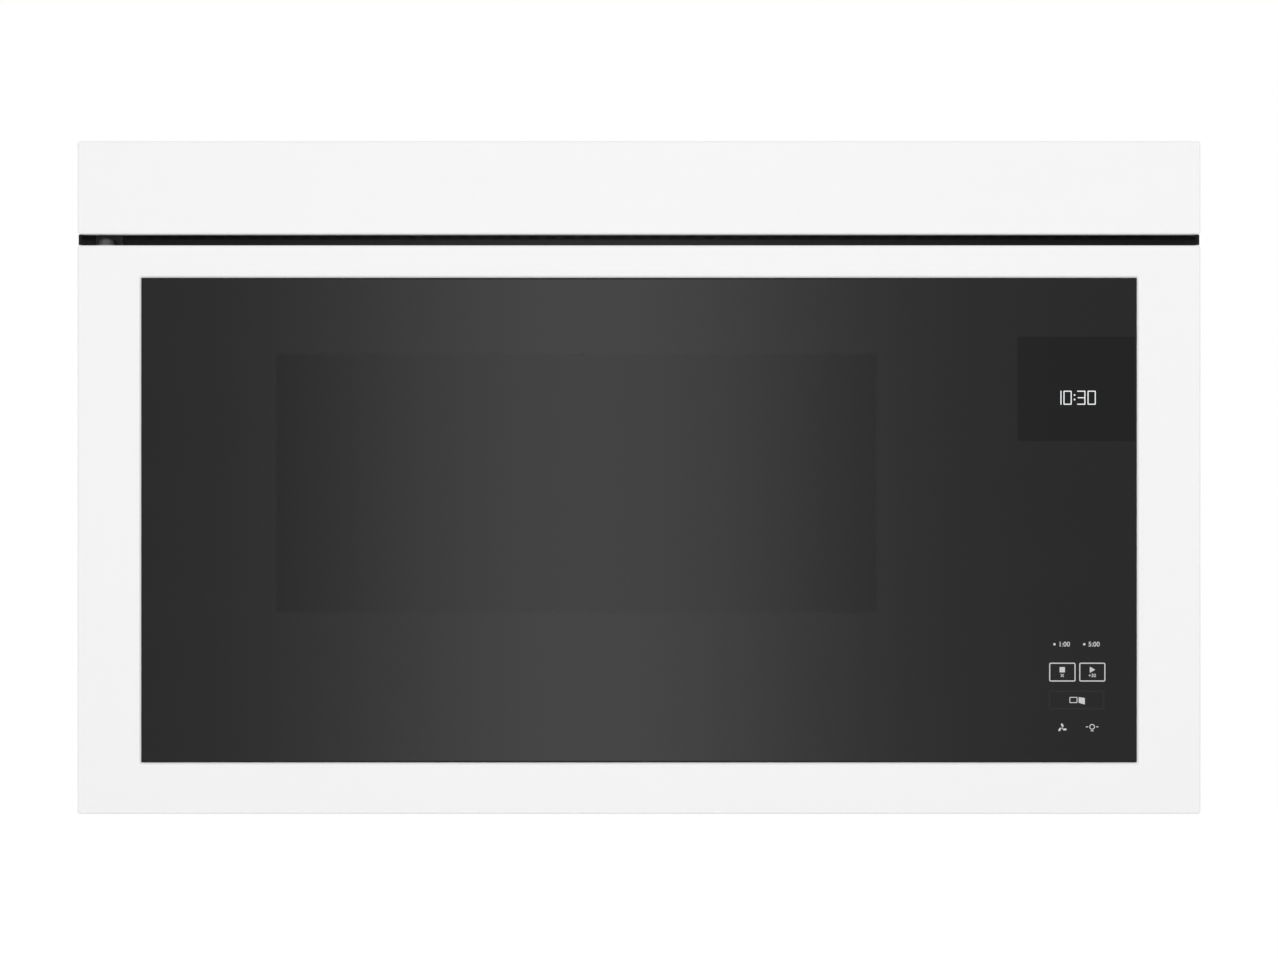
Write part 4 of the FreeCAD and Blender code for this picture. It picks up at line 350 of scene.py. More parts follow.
def printed_glass(name, colour):
    """Dark glass: print behind it, a see-through window with a painted reflection, lighter in its middle and
    darker at its ends, a deeper black display block, and a ground edge that is rougher and painted near-black
    as the shade of the gap round the glass.
    """
    # Tones of the window's painted reflection: darker at its ends, lighter in its middle.
    window_shaded_ends, window_reflection_middle = (0.0033, 0.0033, 0.0034), (0.0072, 0.007, 0.007)
    # The rim of the glass, its ground edge, is rougher and painted near-black as the shade of the gap round
    # the glass.
    block_black, rim_shade_black, rim_rough = (0.0008, 0.0008, 0.0009), (0.0006, 0.0006, 0.0006), 0.45
    block_edge, rim_edge = 0.4, 0.2
    sizes = bpy.context.scene.oven_finishes
    new = Finish(name, IOR=1.3, Roughness=0.03)
    window_low, window_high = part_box("window_screen")
    block_low, block_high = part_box("display_module")
    block_high.x = GLASS_HIGH.x
    masks = []
    for low, high, margin, edge in (
        (window_low, window_high, sizes.window_lap, sizes.window_edge),
        (block_low, block_high, -sizes.block_lap, block_edge),
        (GLASS_LOW, GLASS_HIGH, sizes.glass_rim, rim_edge),
    ):
        half = (high - low) / 2 - Vector((margin, 0.0, margin)) * MM
        inputs = {"Centre": tuple((low + high) / 2), "Half": (half.x, 1.0, half.z), "Edge": edge * MM}
        masks.append(box_mask(new, new.place, **inputs)[0])
    window, block, face = masks
    # A mask for the window's middle, where the painted reflection is lighter, fading to the darker ends over
    # the given width.
    reach = (window_high.x - window_low.x) / 2 - sizes.window_reflection_fade / 2 * MM
    inputs = {"Centre": tuple((window_low + window_high) / 2), "Half": (reach, 1.0, 1.0)}
    middle = box_mask(new, new.place, **inputs, Edge=sizes.window_reflection_fade * MM)[0]
    smear = new.noise(new.scaled(new.place, (1.0, 1.0, 2.5)), 7.0, 4.0)
    dark = new.blend(block, new.blend(middle, window_shaded_ends, window_reflection_middle), block_black)
    inner = new.blend(new.math("MAXIMUM", window, block), new.tones(smear, colour, 0.12), dark)
    polish = new.mix(face, rim_rough, new.span(smear, 0.02, 0.045, *NOISE_RUN))
    cover = new.span(window, 1.0, sizes.window_cover)
    return new.dress(new.blend(face, rim_shade_black, inner), polish, Alpha=cover)


def see_through_glass(name, colour, rough, weight, wave):
    """Clear or frosted glass, a little uneven."""
    new = Finish(name, Transmission_Weight=weight, IOR=1.46)
    smear = new.noise(new.place, 11.0, 4.0)
    polish = new.span(smear, rough, rough + 0.05, *NOISE_RUN)
    return new.dress(new.tones(smear, colour, 0.03), polish, new.noise(new.place, 800.0), wave)


def punched_screen(name, colour):
    """The window's black screen, clear in its fine holes."""
    new = Finish(name, Metallic=0.2)
    paint = new.tones(new.noise(new.place, 30.0), colour, 0.15)
    solid = new.math("SUBTRACT", 1.0, punched_holes(new, new.place)[0])
    return new.dress(paint, new.span(new.noise(new.place, 900.0), 0.42, 0.55), Alpha=solid)


def woven_wire(name, colour):
    """Layers of fine crimped strand inside a smooth folded frame, the wires painted at half their tone over
    near-black gaps as painted shade under the expanded mesh.
    """
    gap_shade, wire_turn, frame_edge = (0.04, 0.04, 0.042), 0.62, 0.3 * MM
    new = Finish(name, Metallic=0.95)
    axes = new.axes(new.place)
    plan = new.add("ShaderNodeCombineXYZ", {0: axes[0], 2: axes[1]}).outputs[0]
    fields = []
    for low, high in (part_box("grease_filter_left"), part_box("grease_filter_right")):
        centre, half = (low + high) / 2, (high - low) / 2
        reach = (half.x - FILTER_RIM, 1.0, half.y - FILTER_RIM)
        fields.append(box_mask(new, plan, Centre=(centre.x, 0.0, centre.y), Half=reach, Edge=frame_edge)[0])
    field = new.math("MAXIMUM", *fields)
    layers = []
    for turn in (wire_turn, -wire_turn):
        askew = new.scaled(new.place, (1.0, 1.0, 1.0), (0.0, 0.0, turn))
        inputs = {"Vector": askew, "Scale": 330.0, "Distortion": 1.2, "Detail": 1.0, "Detail Scale": 2.0}
        layers.append(new.add("ShaderNodeTexWave", inputs).outputs[1])
    strands = new.math("MAXIMUM", *layers)
    # Wires at half their tone and near-black gaps: painted shade under the expanded mesh.
    wires = new.blend(new.span(strands, 0.0, 1.0, 0.45, 0.85), gap_shade, shaded(colour, 0.5))
    height = new.math("MULTIPLY", strands, field)
    return new.dress(new.blend(field, colour, wires), new.span(strands, 0.5, 0.34), height, 0.25 * MM)


def charcoal_granules(name, colour):
    """Loose black granules."""
    new = Finish(name)
    grains = speckle(new, new.place, Scale=420.0, Size=0.5)
    shade = new.blend(grains["Choice"], (0.012, 0.012, 0.013), colour)
    return new.dress(shade, new.span(grains["Choice"], 0.45, 0.85), grains["Height"], 0.9 * MM)


def wound_core(name, colour):
    """Varnished steel laminations, with copper windings where the coils stand out of the core."""
    half_core = 33.0 * MM
    new = Finish(name, Metallic=0.75)
    low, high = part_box("hv_transformer")
    beyond = new.math("ABSOLUTE", new.math("SUBTRACT", new.axes(new.place)[1], ((low + high) / 2).y))
    coil = new.math("GREATER_THAN", beyond, half_core)
    sheets, turns = [
        new.add("ShaderNodeTexWave", {"Vector": new.place, "Scale": scale}, bands_direction=axis).outputs[1]
        for scale, axis in ((300.0, "Y"), (160.0, "Z"))
    ]
    tone = new.noise(new.place, 30.0, 3.0)
    copper = new.blend(turns, (0.28, 0.1, 0.045), (0.72, 0.33, 0.17))
    shade = new.blend(coil, new.tones(tone, colour, 0.25), copper)
    return new.dress(shade, new.span(tone, 0.38, 0.55, *NOISE_RUN), new.mix(coil, sheets, turns), 0.15 * MM)


def board_laminate(name, colour):
    """Green laminate with copper tracks under the mask and small dark and pale parts standing on it."""
    dark_part, pale_part, part_strength = (0.03, 0.03, 0.032), (0.5, 0.42, 0.2), 0.85
    board_side, far_side = 3.0 * MM, 0.5 * MM
    new = Finish(name)
    tracks = new.cells(new.place, 190.0, distance="MANHATTAN", feature="F1")
    lines = new.math("GREATER_THAN", new.math("FRACT", new.math("MULTIPLY", tracks, 5.0)), 0.55)
    green = new.blend(lines, shaded(colour, 0.62), colour)
    choice = new.channels(new.cells(new.place, 45.0, "Color", distance="CHEBYCHEV"))[0]
    parts = new.blend(new.math("GREATER_THAN", choice, 0.6), dark_part, pale_part)
    low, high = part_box("power_board")
    across = new.axes(new.place)[0]
    raised = new.math("GREATER_THAN", across, low.x + board_side)
    inside = new.math("MULTIPLY", raised, new.math("LESS_THAN", across, high.x - far_side))
    shade = new.blend(new.math("MULTIPLY", inside, part_strength), green, parts)
    return new.dress(shade, new.span(new.noise(new.place, 60.0), 0.35, 0.55), lines, 0.03 * MM)


def lit_print(name, colour, glow):
    """Ink or lit segments behind the glass: the same pale tone, a little uneven."""
    new = Finish(name, IOR=1.3, Emission_Strength=glow)
    tone = new.noise(new.place, 500.0)
    shade = new.tones(tone, colour, 0.04)
    return new.dress(shade, new.span(tone, 0.04, 0.08), Emission_Color=shade)


# Each finish's function and what it takes after its colour
FINISHES = {
    "white_door": (moulding, 0.33, 0.006 * MM, 1400.0, 0.004, 1.5, 0.4),
    "white_steel": (coated_sheet, 0.4, 0.008),
    "galvanised": (galvanised_sheet,),
    "enamel": (flecked_enamel,),
    "black_moulding": (moulding, 0.52, 0.04 * MM, 1300.0, 0.12),
    "dark_glass": (printed_glass,),
    "clear_glass": (see_through_glass, 0.01, 1.0, 0.002 * MM),
    "ceramic": (ground_ceramic,),
    "frosted_lens": (see_through_glass, 0.4, 0.55, 0.05 * MM),
    "bare_steel": (metal, 0.35, ALONG_X, 1.0, 0.1),
    "screen_steel": (punched_screen,),
    "aluminium": (metal, 0.3, (2200.0, 70.0, 2200.0), 1.0, 0.05),
    "filter_mesh": (woven_wire,),
    "charcoal": (charcoal_granules,),
    "grey_moulding": (moulding, 0.5, 0.03 * MM, 1500.0, 0.06),
    "white_moulding": (moulding, 0.48, 0.03 * MM, 1500.0, 0.03),
    "motor_steel": (metal, 0.42, (2400.0, 2400.0, 50.0), 0.9, 0.08),
    "core_steel": (wound_core,),
    "circuit_board": (board_laminate,),
    "display": (moulding, 0.2, 0.01 * MM, 2000.0, 0.1),
    "gland_rubber": (moulding, 0.68, 0.06 * MM, 1000.0, 0.15),
    "hinge_pin": (coated_sheet, 0.5, 0.1),
    "hinge_plate": (metal, 0.55, ALONG_X, 0.2, 0.1),
    "air_strip": (moulding, 0.12, 0.003 * MM, 1300.0, 0.1, 1.22),
}

# Nodes that wear another finish than their slot's
OWN_FINISHES = {
    "upper_hinge": "hinge_plate",
    "lower_hinge": "hinge_plate",
    "hinge_pins": "hinge_pin",
    # The vent grille wears a near-black finish that paints the shade of the air slot.
    "vent_grille": "air_strip",
}


def finish(name):
    """One of the finishes, once it is made."""
    return bpy.data.materials["finish_" + name]


# Modelling


def clear_selection():
    if bpy.context.mode != "OBJECT":
        bpy.ops.object.mode_set(mode="OBJECT")
    bpy.ops.object.select_all(action="DESELECT")


def pick(*objects):
    """Only these objects selected, the first one active."""
    clear_selection()
    for item in objects:
        item.select_set(True)
    bpy.context.view_layer.objects.active = objects[0]


def edit(piece, test, kind="FACE"):
    """Edit mode with only what passes the test selected.

    The test gets a face's middle and normal, an edge's two ends or a vertex's place.
    """
    pick(piece)
    bpy.ops.object.mode_set(mode="EDIT")
    bpy.ops.mesh.select_mode(type=kind)
    bpy.ops.mesh.select_all(action="DESELECT")
    mesh = bmesh.from_edit_mesh(piece.data)
    if kind == "FACE":
        for face in mesh.faces:
            face.select_set(bool(test(face.calc_center_median(), face.normal)))
    elif kind == "EDGE":
        for edge in mesh.edges:
            edge.select_set(bool(test(*[vertex.co for vertex in edge.verts])))
    else:
        for vertex in mesh.verts:
            vertex.select_set(bool(test(vertex.co)))
    mesh.select_flush_mode()
    bmesh.update_edit_mesh(piece.data)


def leave_edit():
    bpy.ops.object.mode_set(mode="OBJECT")


def settle(piece, name):
    """Names a piece and puts its place, turn and size into its mesh."""
    pick(piece)
    bpy.ops.object.transform_apply(location=True, rotation=True, scale=True)
    piece.name = piece.data.name = name
    return piece


def start(name, primitive, **settings):
    """A primitive of some size and place, as the start of a piece."""
    clear_selection()
    primitive(**settings)
    return settle(bpy.context.active_object, name)


def block(low, high):
    """A box between two corners in metres, as a start."""
    low, high = Vector(low), Vector(high)
    size, middle = high - low, (low + high) / 2
    return start("block", bpy.ops.mesh.primitive_cube_add, size=1.0, location=middle, scale=size)


def wear(piece, material):
    piece.data.materials.clear()
    piece.data.materials.append(material)


def modify(piece, kind, **settings):
    pick(piece)
    modifier = piece.modifiers.new(kind.title(), kind)
    for key, value in settings.items():
        setattr(modifier, key, value)
    bpy.ops.object.modifier_apply(modifier=modifier.name)


def cut(piece, cutter, operation="DIFFERENCE"):
    modify(piece, "BOOLEAN", object=cutter, operation=operation, solver="EXACT")
    bpy.data.objects.remove(cutter)


def bevel(piece, test, offset, segments, kind="EDGE"):
    """Rounds the edges that pass the test, or those of the faces that pass it."""
    edit(piece, test, kind)
    bpy.ops.mesh.bevel(offset=offset, segments=segments, affect="EDGES")
    leave_edit()


def smooth(piece, degrees):
    """Smooth shading over edges up to an angle."""
    pick(piece)
    bpy.ops.object.shade_smooth_by_angle(angle=math.radians(degrees))


def join(pieces, name):
    pick(*pieces)
    if len(pieces) > 1:
        bpy.ops.object.join()
    return settle(bpy.context.active_object, name)


def copies(template, places):
    """One copy of the template, with its own mesh, at each place, and the template removed."""
    made = []
    for place in places:
        copy = template.copy()
        copy.data = template.data.copy()
        copy.matrix_world = place
        bpy.context.scene.collection.objects.link(copy)
        made.append(copy)
    bpy.data.objects.remove(template)
    return made


def fasten(piece, body, material):
    wear(piece, material)
    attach(piece, body)
    return piece


# Flat prints, drawn in millimetres across X and Z


def rounded(points, radius, steps=4):
    """A loop of corners, each turned by the radius."""
    longest = 0.48  # of a side that a turn takes
    loop = []
    for index, corner in enumerate(points):
        here = Vector(corner)
        ends = []
        for other in (Vector(points[index - 1]), Vector(points[(index + 1) % len(points)])):
            away = other - here
            ends.append(here + away.normalized() * min(radius, away.length * longest))
        for step in range(steps + 1):
            t = step / steps
            point = ends[0] * (1 - t) ** 2 + here * 2 * t * (1 - t) + ends[1] * t ** 2
            loop.append((point.x, point.y))
    return loop


def rectangle(x0, z0, x1, z1, radius=0.0):
    corners = [(x0, z0), (x1, z0), (x1, z1), (x0, z1)]
    return rounded(corners, radius) if radius else corners


def frame_lines(x0, z0, x1, z1, line, radius):
    """An outline of a rectangle, with its line inside the corners."""
    inner_radius = max(radius - line, 0.1)
    inner = rectangle(x0 + line, z0 + line, x1 - line, z1 - line, inner_radius)
    return [rectangle(x0, z0, x1, z1, radius), inner]


def turned(x, z, across, up, angle):
    """The point that lies across and up from x, z, turned about x, z by the angle."""
    cosine, sine = math.cos(angle), math.sin(angle)
    return x + across * cosine - up * sine, z + across * sine + up * cosine


def oval(x, z, half_x, half_z, turn=0.0, steps=28):
    angles = [2 * math.pi * step / steps for step in range(steps)]
    return [turned(x, z, half_x * math.cos(angle), half_z * math.sin(angle), turn) for angle in angles]


def cross(x, z, reach, half_width, turn):
    """A cross of two bars, turned by an angle."""
    corners = ((reach, -half_width), (reach, half_width), (half_width, half_width))
    angles = [quarter * math.pi / 2 + turn for quarter in range(4)]
    return [turned(x, z, across, up, angle) for angle in angles for across, up in corners]


def clock_digit(digit, x, z, width, height, line):
    """Loops of one upright segment digit with softly turned corners."""
    right, top, middle = x + width, z + height, z + height / 2
    corner = line * 0.9
    if digit == "1":
        return [rectangle(right - line, z, right, top, line / 2)]
    if digit == "0":
        inner = rectangle(x + line, z + line, right - line, top - line, corner / 2)
        return [rectangle(x, z, right, top, corner), inner]
    if digit == "3":
        return [rounded([
            (x, z), (right, z), (right, top), (x, top), (x, top - line), (right - line, top - line),
            (right - line, middle + line / 2), (x + line / 2, middle + line / 2),
            (x + line / 2, middle - line / 2), (right - line, middle - line / 2),
            (right - line, z + line), (x, z + line),
        ], line * 0.45)]
    raise ValueError("no drawing for the digit " + digit)


def flat_shape(name, loops, proud):
    """A thin closed shape that stands proud of the door's glass."""
    data = bpy.data.curves.new(name, "CURVE")
    data.dimensions = "2D"
    data.fill_mode = "BOTH"
    data.extrude = proud * MM / 2
    for loop in loops:
        spline = data.splines.new("POLY")
        spline.points.add(len(loop) - 1)
        for point, (x, z) in zip(spline.points, loop):
            point.co = (x * MM, z * MM, 0.0, 1.0)
        spline.use_cyclic_u = True
    drawn = bpy.data.objects.new(name, data)
    bpy.context.scene.collection.objects.link(drawn)
    pick(drawn)
    bpy.ops.object.convert(target="MESH")
    return stand_on_glass(bpy.context.active_object, name, proud)


def number(name, text, x, z, height, proud):
    """A plain number as a flat mesh, the middle of its foot at x, z."""
    numeral_share, boldness = 0.7, 0.018  # a numeral's height in its font's size; the widening of its strokes
    clear_selection()
    bpy.ops.object.text_add()
    words = bpy.context.active_object
    words.data.body = text
    words.data.size = height * MM / numeral_share
    words.data.align_x = "CENTER"
    words.data.offset = height * MM * boldness
    words.data.extrude = proud * MM / 2
    words.location = (x * MM, 0.0, z * MM)
    bpy.ops.object.convert(target="MESH")
    return stand_on_glass(bpy.context.active_object, name, proud)


def stand_on_glass(piece, name, proud):
    """Turns a mesh drawn in its own XY plane upright onto the glass."""
    piece.rotation_euler = (math.pi / 2, 0.0, 0.0)
    piece.location.y = GLASS_FACE - proud * MM / 2
    piece = settle(piece, name)
    edit(piece, lambda middle, normal: True)
    bpy.ops.mesh.remove_doubles(threshold=1e-7)
    bpy.ops.mesh.normals_make_consistent(inside=False)
    leave_edit()
    return piece


# Sizes and colours that a user would change


def setting(name, description, default, **kind):
    return FloatProperty(name=name, description=description, default=default, **kind)


def length(name, description, default):
    return setting(name, description + ", in millimetres", default, min=0.0)


def tint(name, description, default):
    limits = {"subtype": "COLOR", "min": 0.0, "max": 1.0}
    return FloatVectorProperty(name=name, description=description, default=default, **limits)


class OvenFinishes(bpy.types.PropertyGroup):
    door_white: tint("Door white", "Colour of the door frame and fascia", (0.93, 0.93, 0.93))
    glass_print: tint("Glass print", "Colour printed behind the door's glass", (0.0075, 0.0075, 0.0078))
    # The ground edge is also painted near-black, as the shade of the gap round the glass.
    glass_rim: length("Glass rim", "Width of the ground edge of the door's glass", 0.8)
    window_cover: setting(
        "Window cover", "How much of the window's light the tint stops", 0.95,
        min=0.0, max=1.0, subtype="FACTOR")
    window_lap: length("Window lap", "How far the print covers the screen's edge", 8.0)
    window_edge: length("Window edge", "Width of the print's soft edge", 2.5)
    # The window's darker ends and lighter middle are a painted reflection.
    window_reflection_fade: length("Window fade", "How far the window's dark ends reach in", 90.0)
    block_lap: length("Display lap", "How far the display's black reaches past its module", 2.3)


class OvenPrints(bpy.types.PropertyGroup):
    time: StringProperty(name="Time", description="Four digits shown on the clock", default="1030")
    digit_colour: tint("Digit colour", "Colour of the lit digits", (0.5, 0.51, 0.52))
    key_colour: tint("Key colour", "Colour of the printed keys", (0.56, 0.56, 0.565))
    proud: length("Print height", "How far the prints stand off the glass", 0.08)
    digit_line: length("Digit line", "Width of a digit's line", 0.72)
    key_line: length("Key line", "Width of a key's outline", 0.75)


class OvenCavity(bpy.types.PropertyGroup):
    corner_radius: length("Corner radius", "Radius of the cavity's inner corners", 9.0)
    weld_pitch: length("Weld pitch", "Distance between the spot welds", 38.0)
    weld_radius: length("Weld radius", "Radius of a spot weld", 2.6)
    weld_margin: length("Weld margin", "From the opening's edge to the welds", 7.0)


class OvenScrews(bpy.types.PropertyGroup):
    recess_reach: length("Recess reach", "Half the length of the cross recess", 1.7)
    recess_width: length("Recess width", "Width of the cross recess", 0.7)
    recess_depth: length("Recess depth", "Depth of the cross recess", 0.7)


class OvenLenses(bpy.types.PropertyGroup):
    rib_pitch: length("Rib pitch", "Distance between the lens ribs", 5.4)
    rib_depth: length("Rib depth", "Depth of the lens ribs", 0.8)


class OvenFilters(bpy.types.PropertyGroup):
    diamond_pitch: length("Diamond pitch", "Long pitch of the expanded mesh", 9.0)
    strand: length("Strand", "Thickness of the expanded mesh's strands", 1.0)


class OvenStage(bpy.types.PropertyGroup):
    lens: setting("Lens", "Focal length of the camera", 150.0, unit="CAMERA")
    view_height: setting("View height", "Height of the camera", 0.227, unit="LENGTH")
    view_distance: setting("View distance", "Camera to origin", 3.7769, unit="LENGTH")
    floor_drop: setting("Floor drop", "Floor below the oven", 0.3, unit="LENGTH")
    sky: setting("Sky", "Strength of the world's light on the oven", 0.61, min=0.0)
    light: setting("Lamps", "Strength of the lamps", 0.925, min=0.0)


SETTINGS = {
    "oven_finishes": OvenFinishes,
    "oven_prints": OvenPrints,
    "oven_cavity": OvenCavity,
    "oven_screws": OvenScrews,
    "oven_lenses": OvenLenses,
    "oven_filters": OvenFilters,
    "oven_stage": OvenStage,
}


# Operators and the pieces that they make


class OVEN_OT_finishes(bpy.types.Operator):
    """Give every node of the frame its finish"""

    bl_idname = "oven.finishes"
    bl_label = "Finishes"

    def execute(self, context):
        sizes = context.scene.oven_finishes
        colours = {
            **base_colours,
            "white_door": sizes.door_white,
            "black_moulding": shaded(base_colours["black_moulding"], 0.6),
            "dark_glass": sizes.glass_print,
            "clear_glass": (0.86, 0.9, 0.89),
            # The hinge pins are near-black: a painted shadow strip above the grey hinge block.
            "hinge_pin": (0.022, 0.022, 0.023),
            "hinge_plate": (0.1, 0.1, 0.103),
            # The vent grille's near-black tone is painted shade, the dark seen deep in the air slot.
            "air_strip": (0.0055, 0.0055, 0.0057),
        }
        for name, (make, *values) in FINISHES.items():
            make("finish_" + name, colours[name], *values)
        for part in record["subparts"]:
            worn = finish(OWN_FINISHES.get(part["node"], part["material_slot"]))
            for entry in frame["nodes"][part["node"]].material_slots:
                entry.material = worn
        return {"FINISHED"}


class OVEN_OT_clock(bpy.types.Operator):
    """Draw the clock's lit digits behind the door's glass"""

    bl_idname = "oven.clock"
    bl_label = "Clock"

    def execute(self, context):
        foot_z, height, width, first_one_width = 277.5, 9.5, 5.6, 5.15
        left_edges, colon_x, colon_heights, dot = (280.3, 286.75, 296.0, 303.0), 294.25, (281.0, 284.1), 0.6
        prints = context.scene.oven_prints
        lit = lit_print("lit_segments", prints.digit_colour, 0.8)
        for place, (digit, x) in enumerate(zip(prints.time, left_edges)):
            wide = first_one_width if place == 0 and digit == "1" else width
            loops = clock_digit(digit, x, foot_z, wide, height, prints.digit_line)
            fasten(flat_shape("clock_digit_%d" % (place + 1), loops, prints.proud), "door", lit)
        dots = [oval(colon_x, z, dot, dot) for z in colon_heights]
        fasten(flat_shape("clock_colon", dots, prints.proud), "door", lit)
        return {"FINISHED"}


class OVEN_OT_key_prints(bpy.types.Operator):
    """Draw the touch keys: two framed keys, the door key, two minute keys, the fan key and the lamp key"""

    bl_idname = "oven.key_prints"
    bl_label = "Key prints"

    def execute(self, context):
        prints = context.scene.oven_prints
        line, proud = prints.key_line, prints.proud
        ink = lit_print("key_ink", prints.key_colour, 0.1)
        faint = lit_print("faint_key_ink", shaded(prints.key_colour, 0.026), 0.0)
        stop_x, start_x, sign_z, line_z, minute_z, dot_z = 285.95, 306.15, 98.5, 93.5, 114.2, 115.7
        foot_z, top_z, fan_z, lamp_z, corner, half, dot = 90.5, 103.25, 59.1, 59.9, 1.2, 1.8, 0.85
        triangle = [(start_x - 1.6, sign_z - 2.1), (start_x + 2.1, sign_z), (start_x - 1.6, sign_z + 2.1)]
        open_leaf = [(297.0, 76.2), (301.2, 75.0), (301.2, 79.4), (297.0, 80.0)]
        blades = [
            oval(*turned(stop_x, fan_z, 1.9, 0.0, angle), 1.35, 0.72, angle + 0.5)
            for angle in (math.pi / 2, math.pi * 7 / 6, math.pi * 11 / 6)
        ]
        bulb = [oval(start_x, lamp_z, reach, reach) for reach in (1.9, 1.3)]
        bulb_foot = rectangle(305.2, 56.9, 307.1, 57.5, 0.2)
        rays = [rectangle(x0, 59.6, x1, 60.2, 0.2) for x0, x1 in ((301.9, 303.4), (308.9, 310.4))]
        shapes = {
            "stop_key_frame": frame_lines(277.1, foot_z, 294.95, top_z, line, corner),
            "stop_key_square": [rectangle(stop_x - half, sign_z - half, stop_x + half, sign_z + half, 0.3)],
            "stop_key_cross": [cross(stop_x, line_z + 1.1, 1.45, 0.24, math.pi / 4)],
            "start_key_frame": frame_lines(297.4, foot_z, 315.1, top_z, line, corner),
            "start_key_triangle": [rounded(triangle, 0.3)],
            "door_key_mark": frame_lines(290.8, 76.0, 296.2, 80.1, 0.55, 0.5) + [rounded(open_leaf, 0.3)],
            "one_minute_dot": [oval(280.7, dot_z, dot, dot)],
            "five_minute_dot": [oval(300.8, dot_z, dot, dot)],
            "fan_mark": blades + [oval(stop_x, fan_z, 0.45, 0.45)],
            "bulb_mark": bulb + [bulb_foot] + rays,
        }
        for name, loops in shapes.items():
            fasten(flat_shape(name, loops, proud), "door", ink)
        outline = frame_lines(276.7, 71.6, 314.5, 84.5, 1.1, corner)
        fasten(flat_shape("door_key_frame", outline, proud), "door", faint)
        numbers = (
            ("minute_number_1", "1:00", 287.3, minute_z, 3.2),
            ("minute_number_5", "5:00", 307.4, minute_z, 3.2),
            ("start_key_number", "+30", start_x, line_z, 2.3),
        )
        for name, text, x, z, height in numbers:
            fasten(number(name, text, x, z, height, proud), "door", ink)
        return {"FINISHED"}


class OVEN_OT_cavity_corners(bpy.types.Operator):
    """Round the corners between the walls and the ceiling of the cavity"""

    bl_idname = "oven.cavity_corners"
    bl_label = "Cavity corners"

    def execute(self, context):
        sheet, front_setback, shelf_gap, cutter_length = 1.0 * MM, 0.1 * MM, 0.2 * MM, 2.0
        radius = context.scene.oven_cavity.corner_radius * MM
        side_low, side_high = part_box("cavity_side_walls")
        left, right = side_low.x + sheet, side_high.x - sheet
        back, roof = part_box("cavity_back_wall")[0].y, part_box("cavity_ceiling")[0].z
        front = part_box("front_frame")[0].y + front_setback
        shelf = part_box("ceramic_shelf")[1].z + shelf_gap
        near_back, near_roof = back - radius, roof - radius
        lengthways, crosswise = (math.pi / 2, 0.0, 0.0), (0.0, math.pi / 2, 0.0)
        strips = []
        for x, inward in ((left, radius), (right, -radius)):
            x0, x1 = sorted((x, x + inward))
            inner = x + inward
            strips.append(((x0, near_back, shelf), (x1, back, roof), (inner, near_back, roof), ORIGIN))
            strips.append(((x0, front, near_roof), (x1, back, roof), (inner, back, near_roof), lengthways))
        centre = (0.0, near_back, near_roof)
        strips.append(((left, near_back, near_roof), (right, back, roof), centre, crosswise))
        made = []
        for low, high, centre, turn in strips:
            strip = block(low, high)
            cutter = start("cutter", bpy.ops.mesh.primitive_cylinder_add, vertices=64, radius=radius,
                           depth=cutter_length, location=centre, rotation=turn)
            cut(strip, cutter)
            made.append(strip)
        corners = join(made, "cavity_corners")
        smooth(corners, 20.0)
        fasten(corners, "case", finish("enamel"))
        return {"FINISHED"}


def weld_spot(radius):
    """One pressed weld with a raised ring round its dimple, facing +Z."""
    height, rise, dip = 0.3 * MM, 0.12 * MM, 0.14 * MM
    shoulder, ring = radius * 0.3, radius * 0.2
    weld = start("weld", bpy.ops.mesh.primitive_cylinder_add, vertices=24, radius=radius, depth=height)
    edit(weld, lambda middle, normal: normal.z > 0.9)
    bpy.ops.mesh.inset(thickness=shoulder)
    bpy.ops.transform.translate(value=(0.0, 0.0, rise))
    bpy.ops.mesh.inset(thickness=ring)
    bpy.ops.mesh.inset(thickness=ring)
    bpy.ops.transform.translate(value=(0.0, 0.0, -dip))
    leave_edit()
    smooth(weld, 60.0)
    return weld


class OVEN_OT_spot_welds(bpy.types.Operator):
    """Press the row of spot welds round the cavity's opening into the front frame"""

    bl_idname = "oven.spot_welds"
    bl_label = "Spot welds"

    def execute(self, context):
        sizes = context.scene.oven_cavity
        low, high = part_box("cavity_side_walls")
        face_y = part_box("front_frame")[0].y
        away = sizes.weld_margin * MM
        x0, x1, z0, z1 = low.x - away, high.x + away, low.z - away, high.z + away
        spots = []
        for ends in (((x0, z1), (x1, z1)), ((x0, z0), (x1, z0)), ((x0, z0), (x0, z1)), ((x1, z0), (x1, z1))):
            first, last = Vector(ends[0]), Vector(ends[1])
            count = round((last - first).length / (sizes.weld_pitch * MM))
            spots += [first.lerp(last, (index + 0.5) / count) for index in range(count)]
        upright = Matrix.Rotation(math.pi / 2, 4, "X")
        places = [Matrix.Translation((spot.x, face_y, spot.y)) @ upright for spot in spots]
        welds = join(copies(weld_spot(sizes.weld_radius * MM), places), "spot_welds")
        fasten(welds, "case", finish("white_steel"))
        return {"FINISHED"}


def shells(mesh):
    """The points of each connected shell of a mesh."""
    left = set(mesh.verts)
    while left:
        queue, found = [left.pop()], []
        while queue:
            vertex = queue.pop()
            found.append(vertex.co.copy())
            for edge in vertex.link_edges:
                other = edge.other_vert(vertex)
                if other in left:
                    left.remove(other)
                    queue.append(other)
        yield found


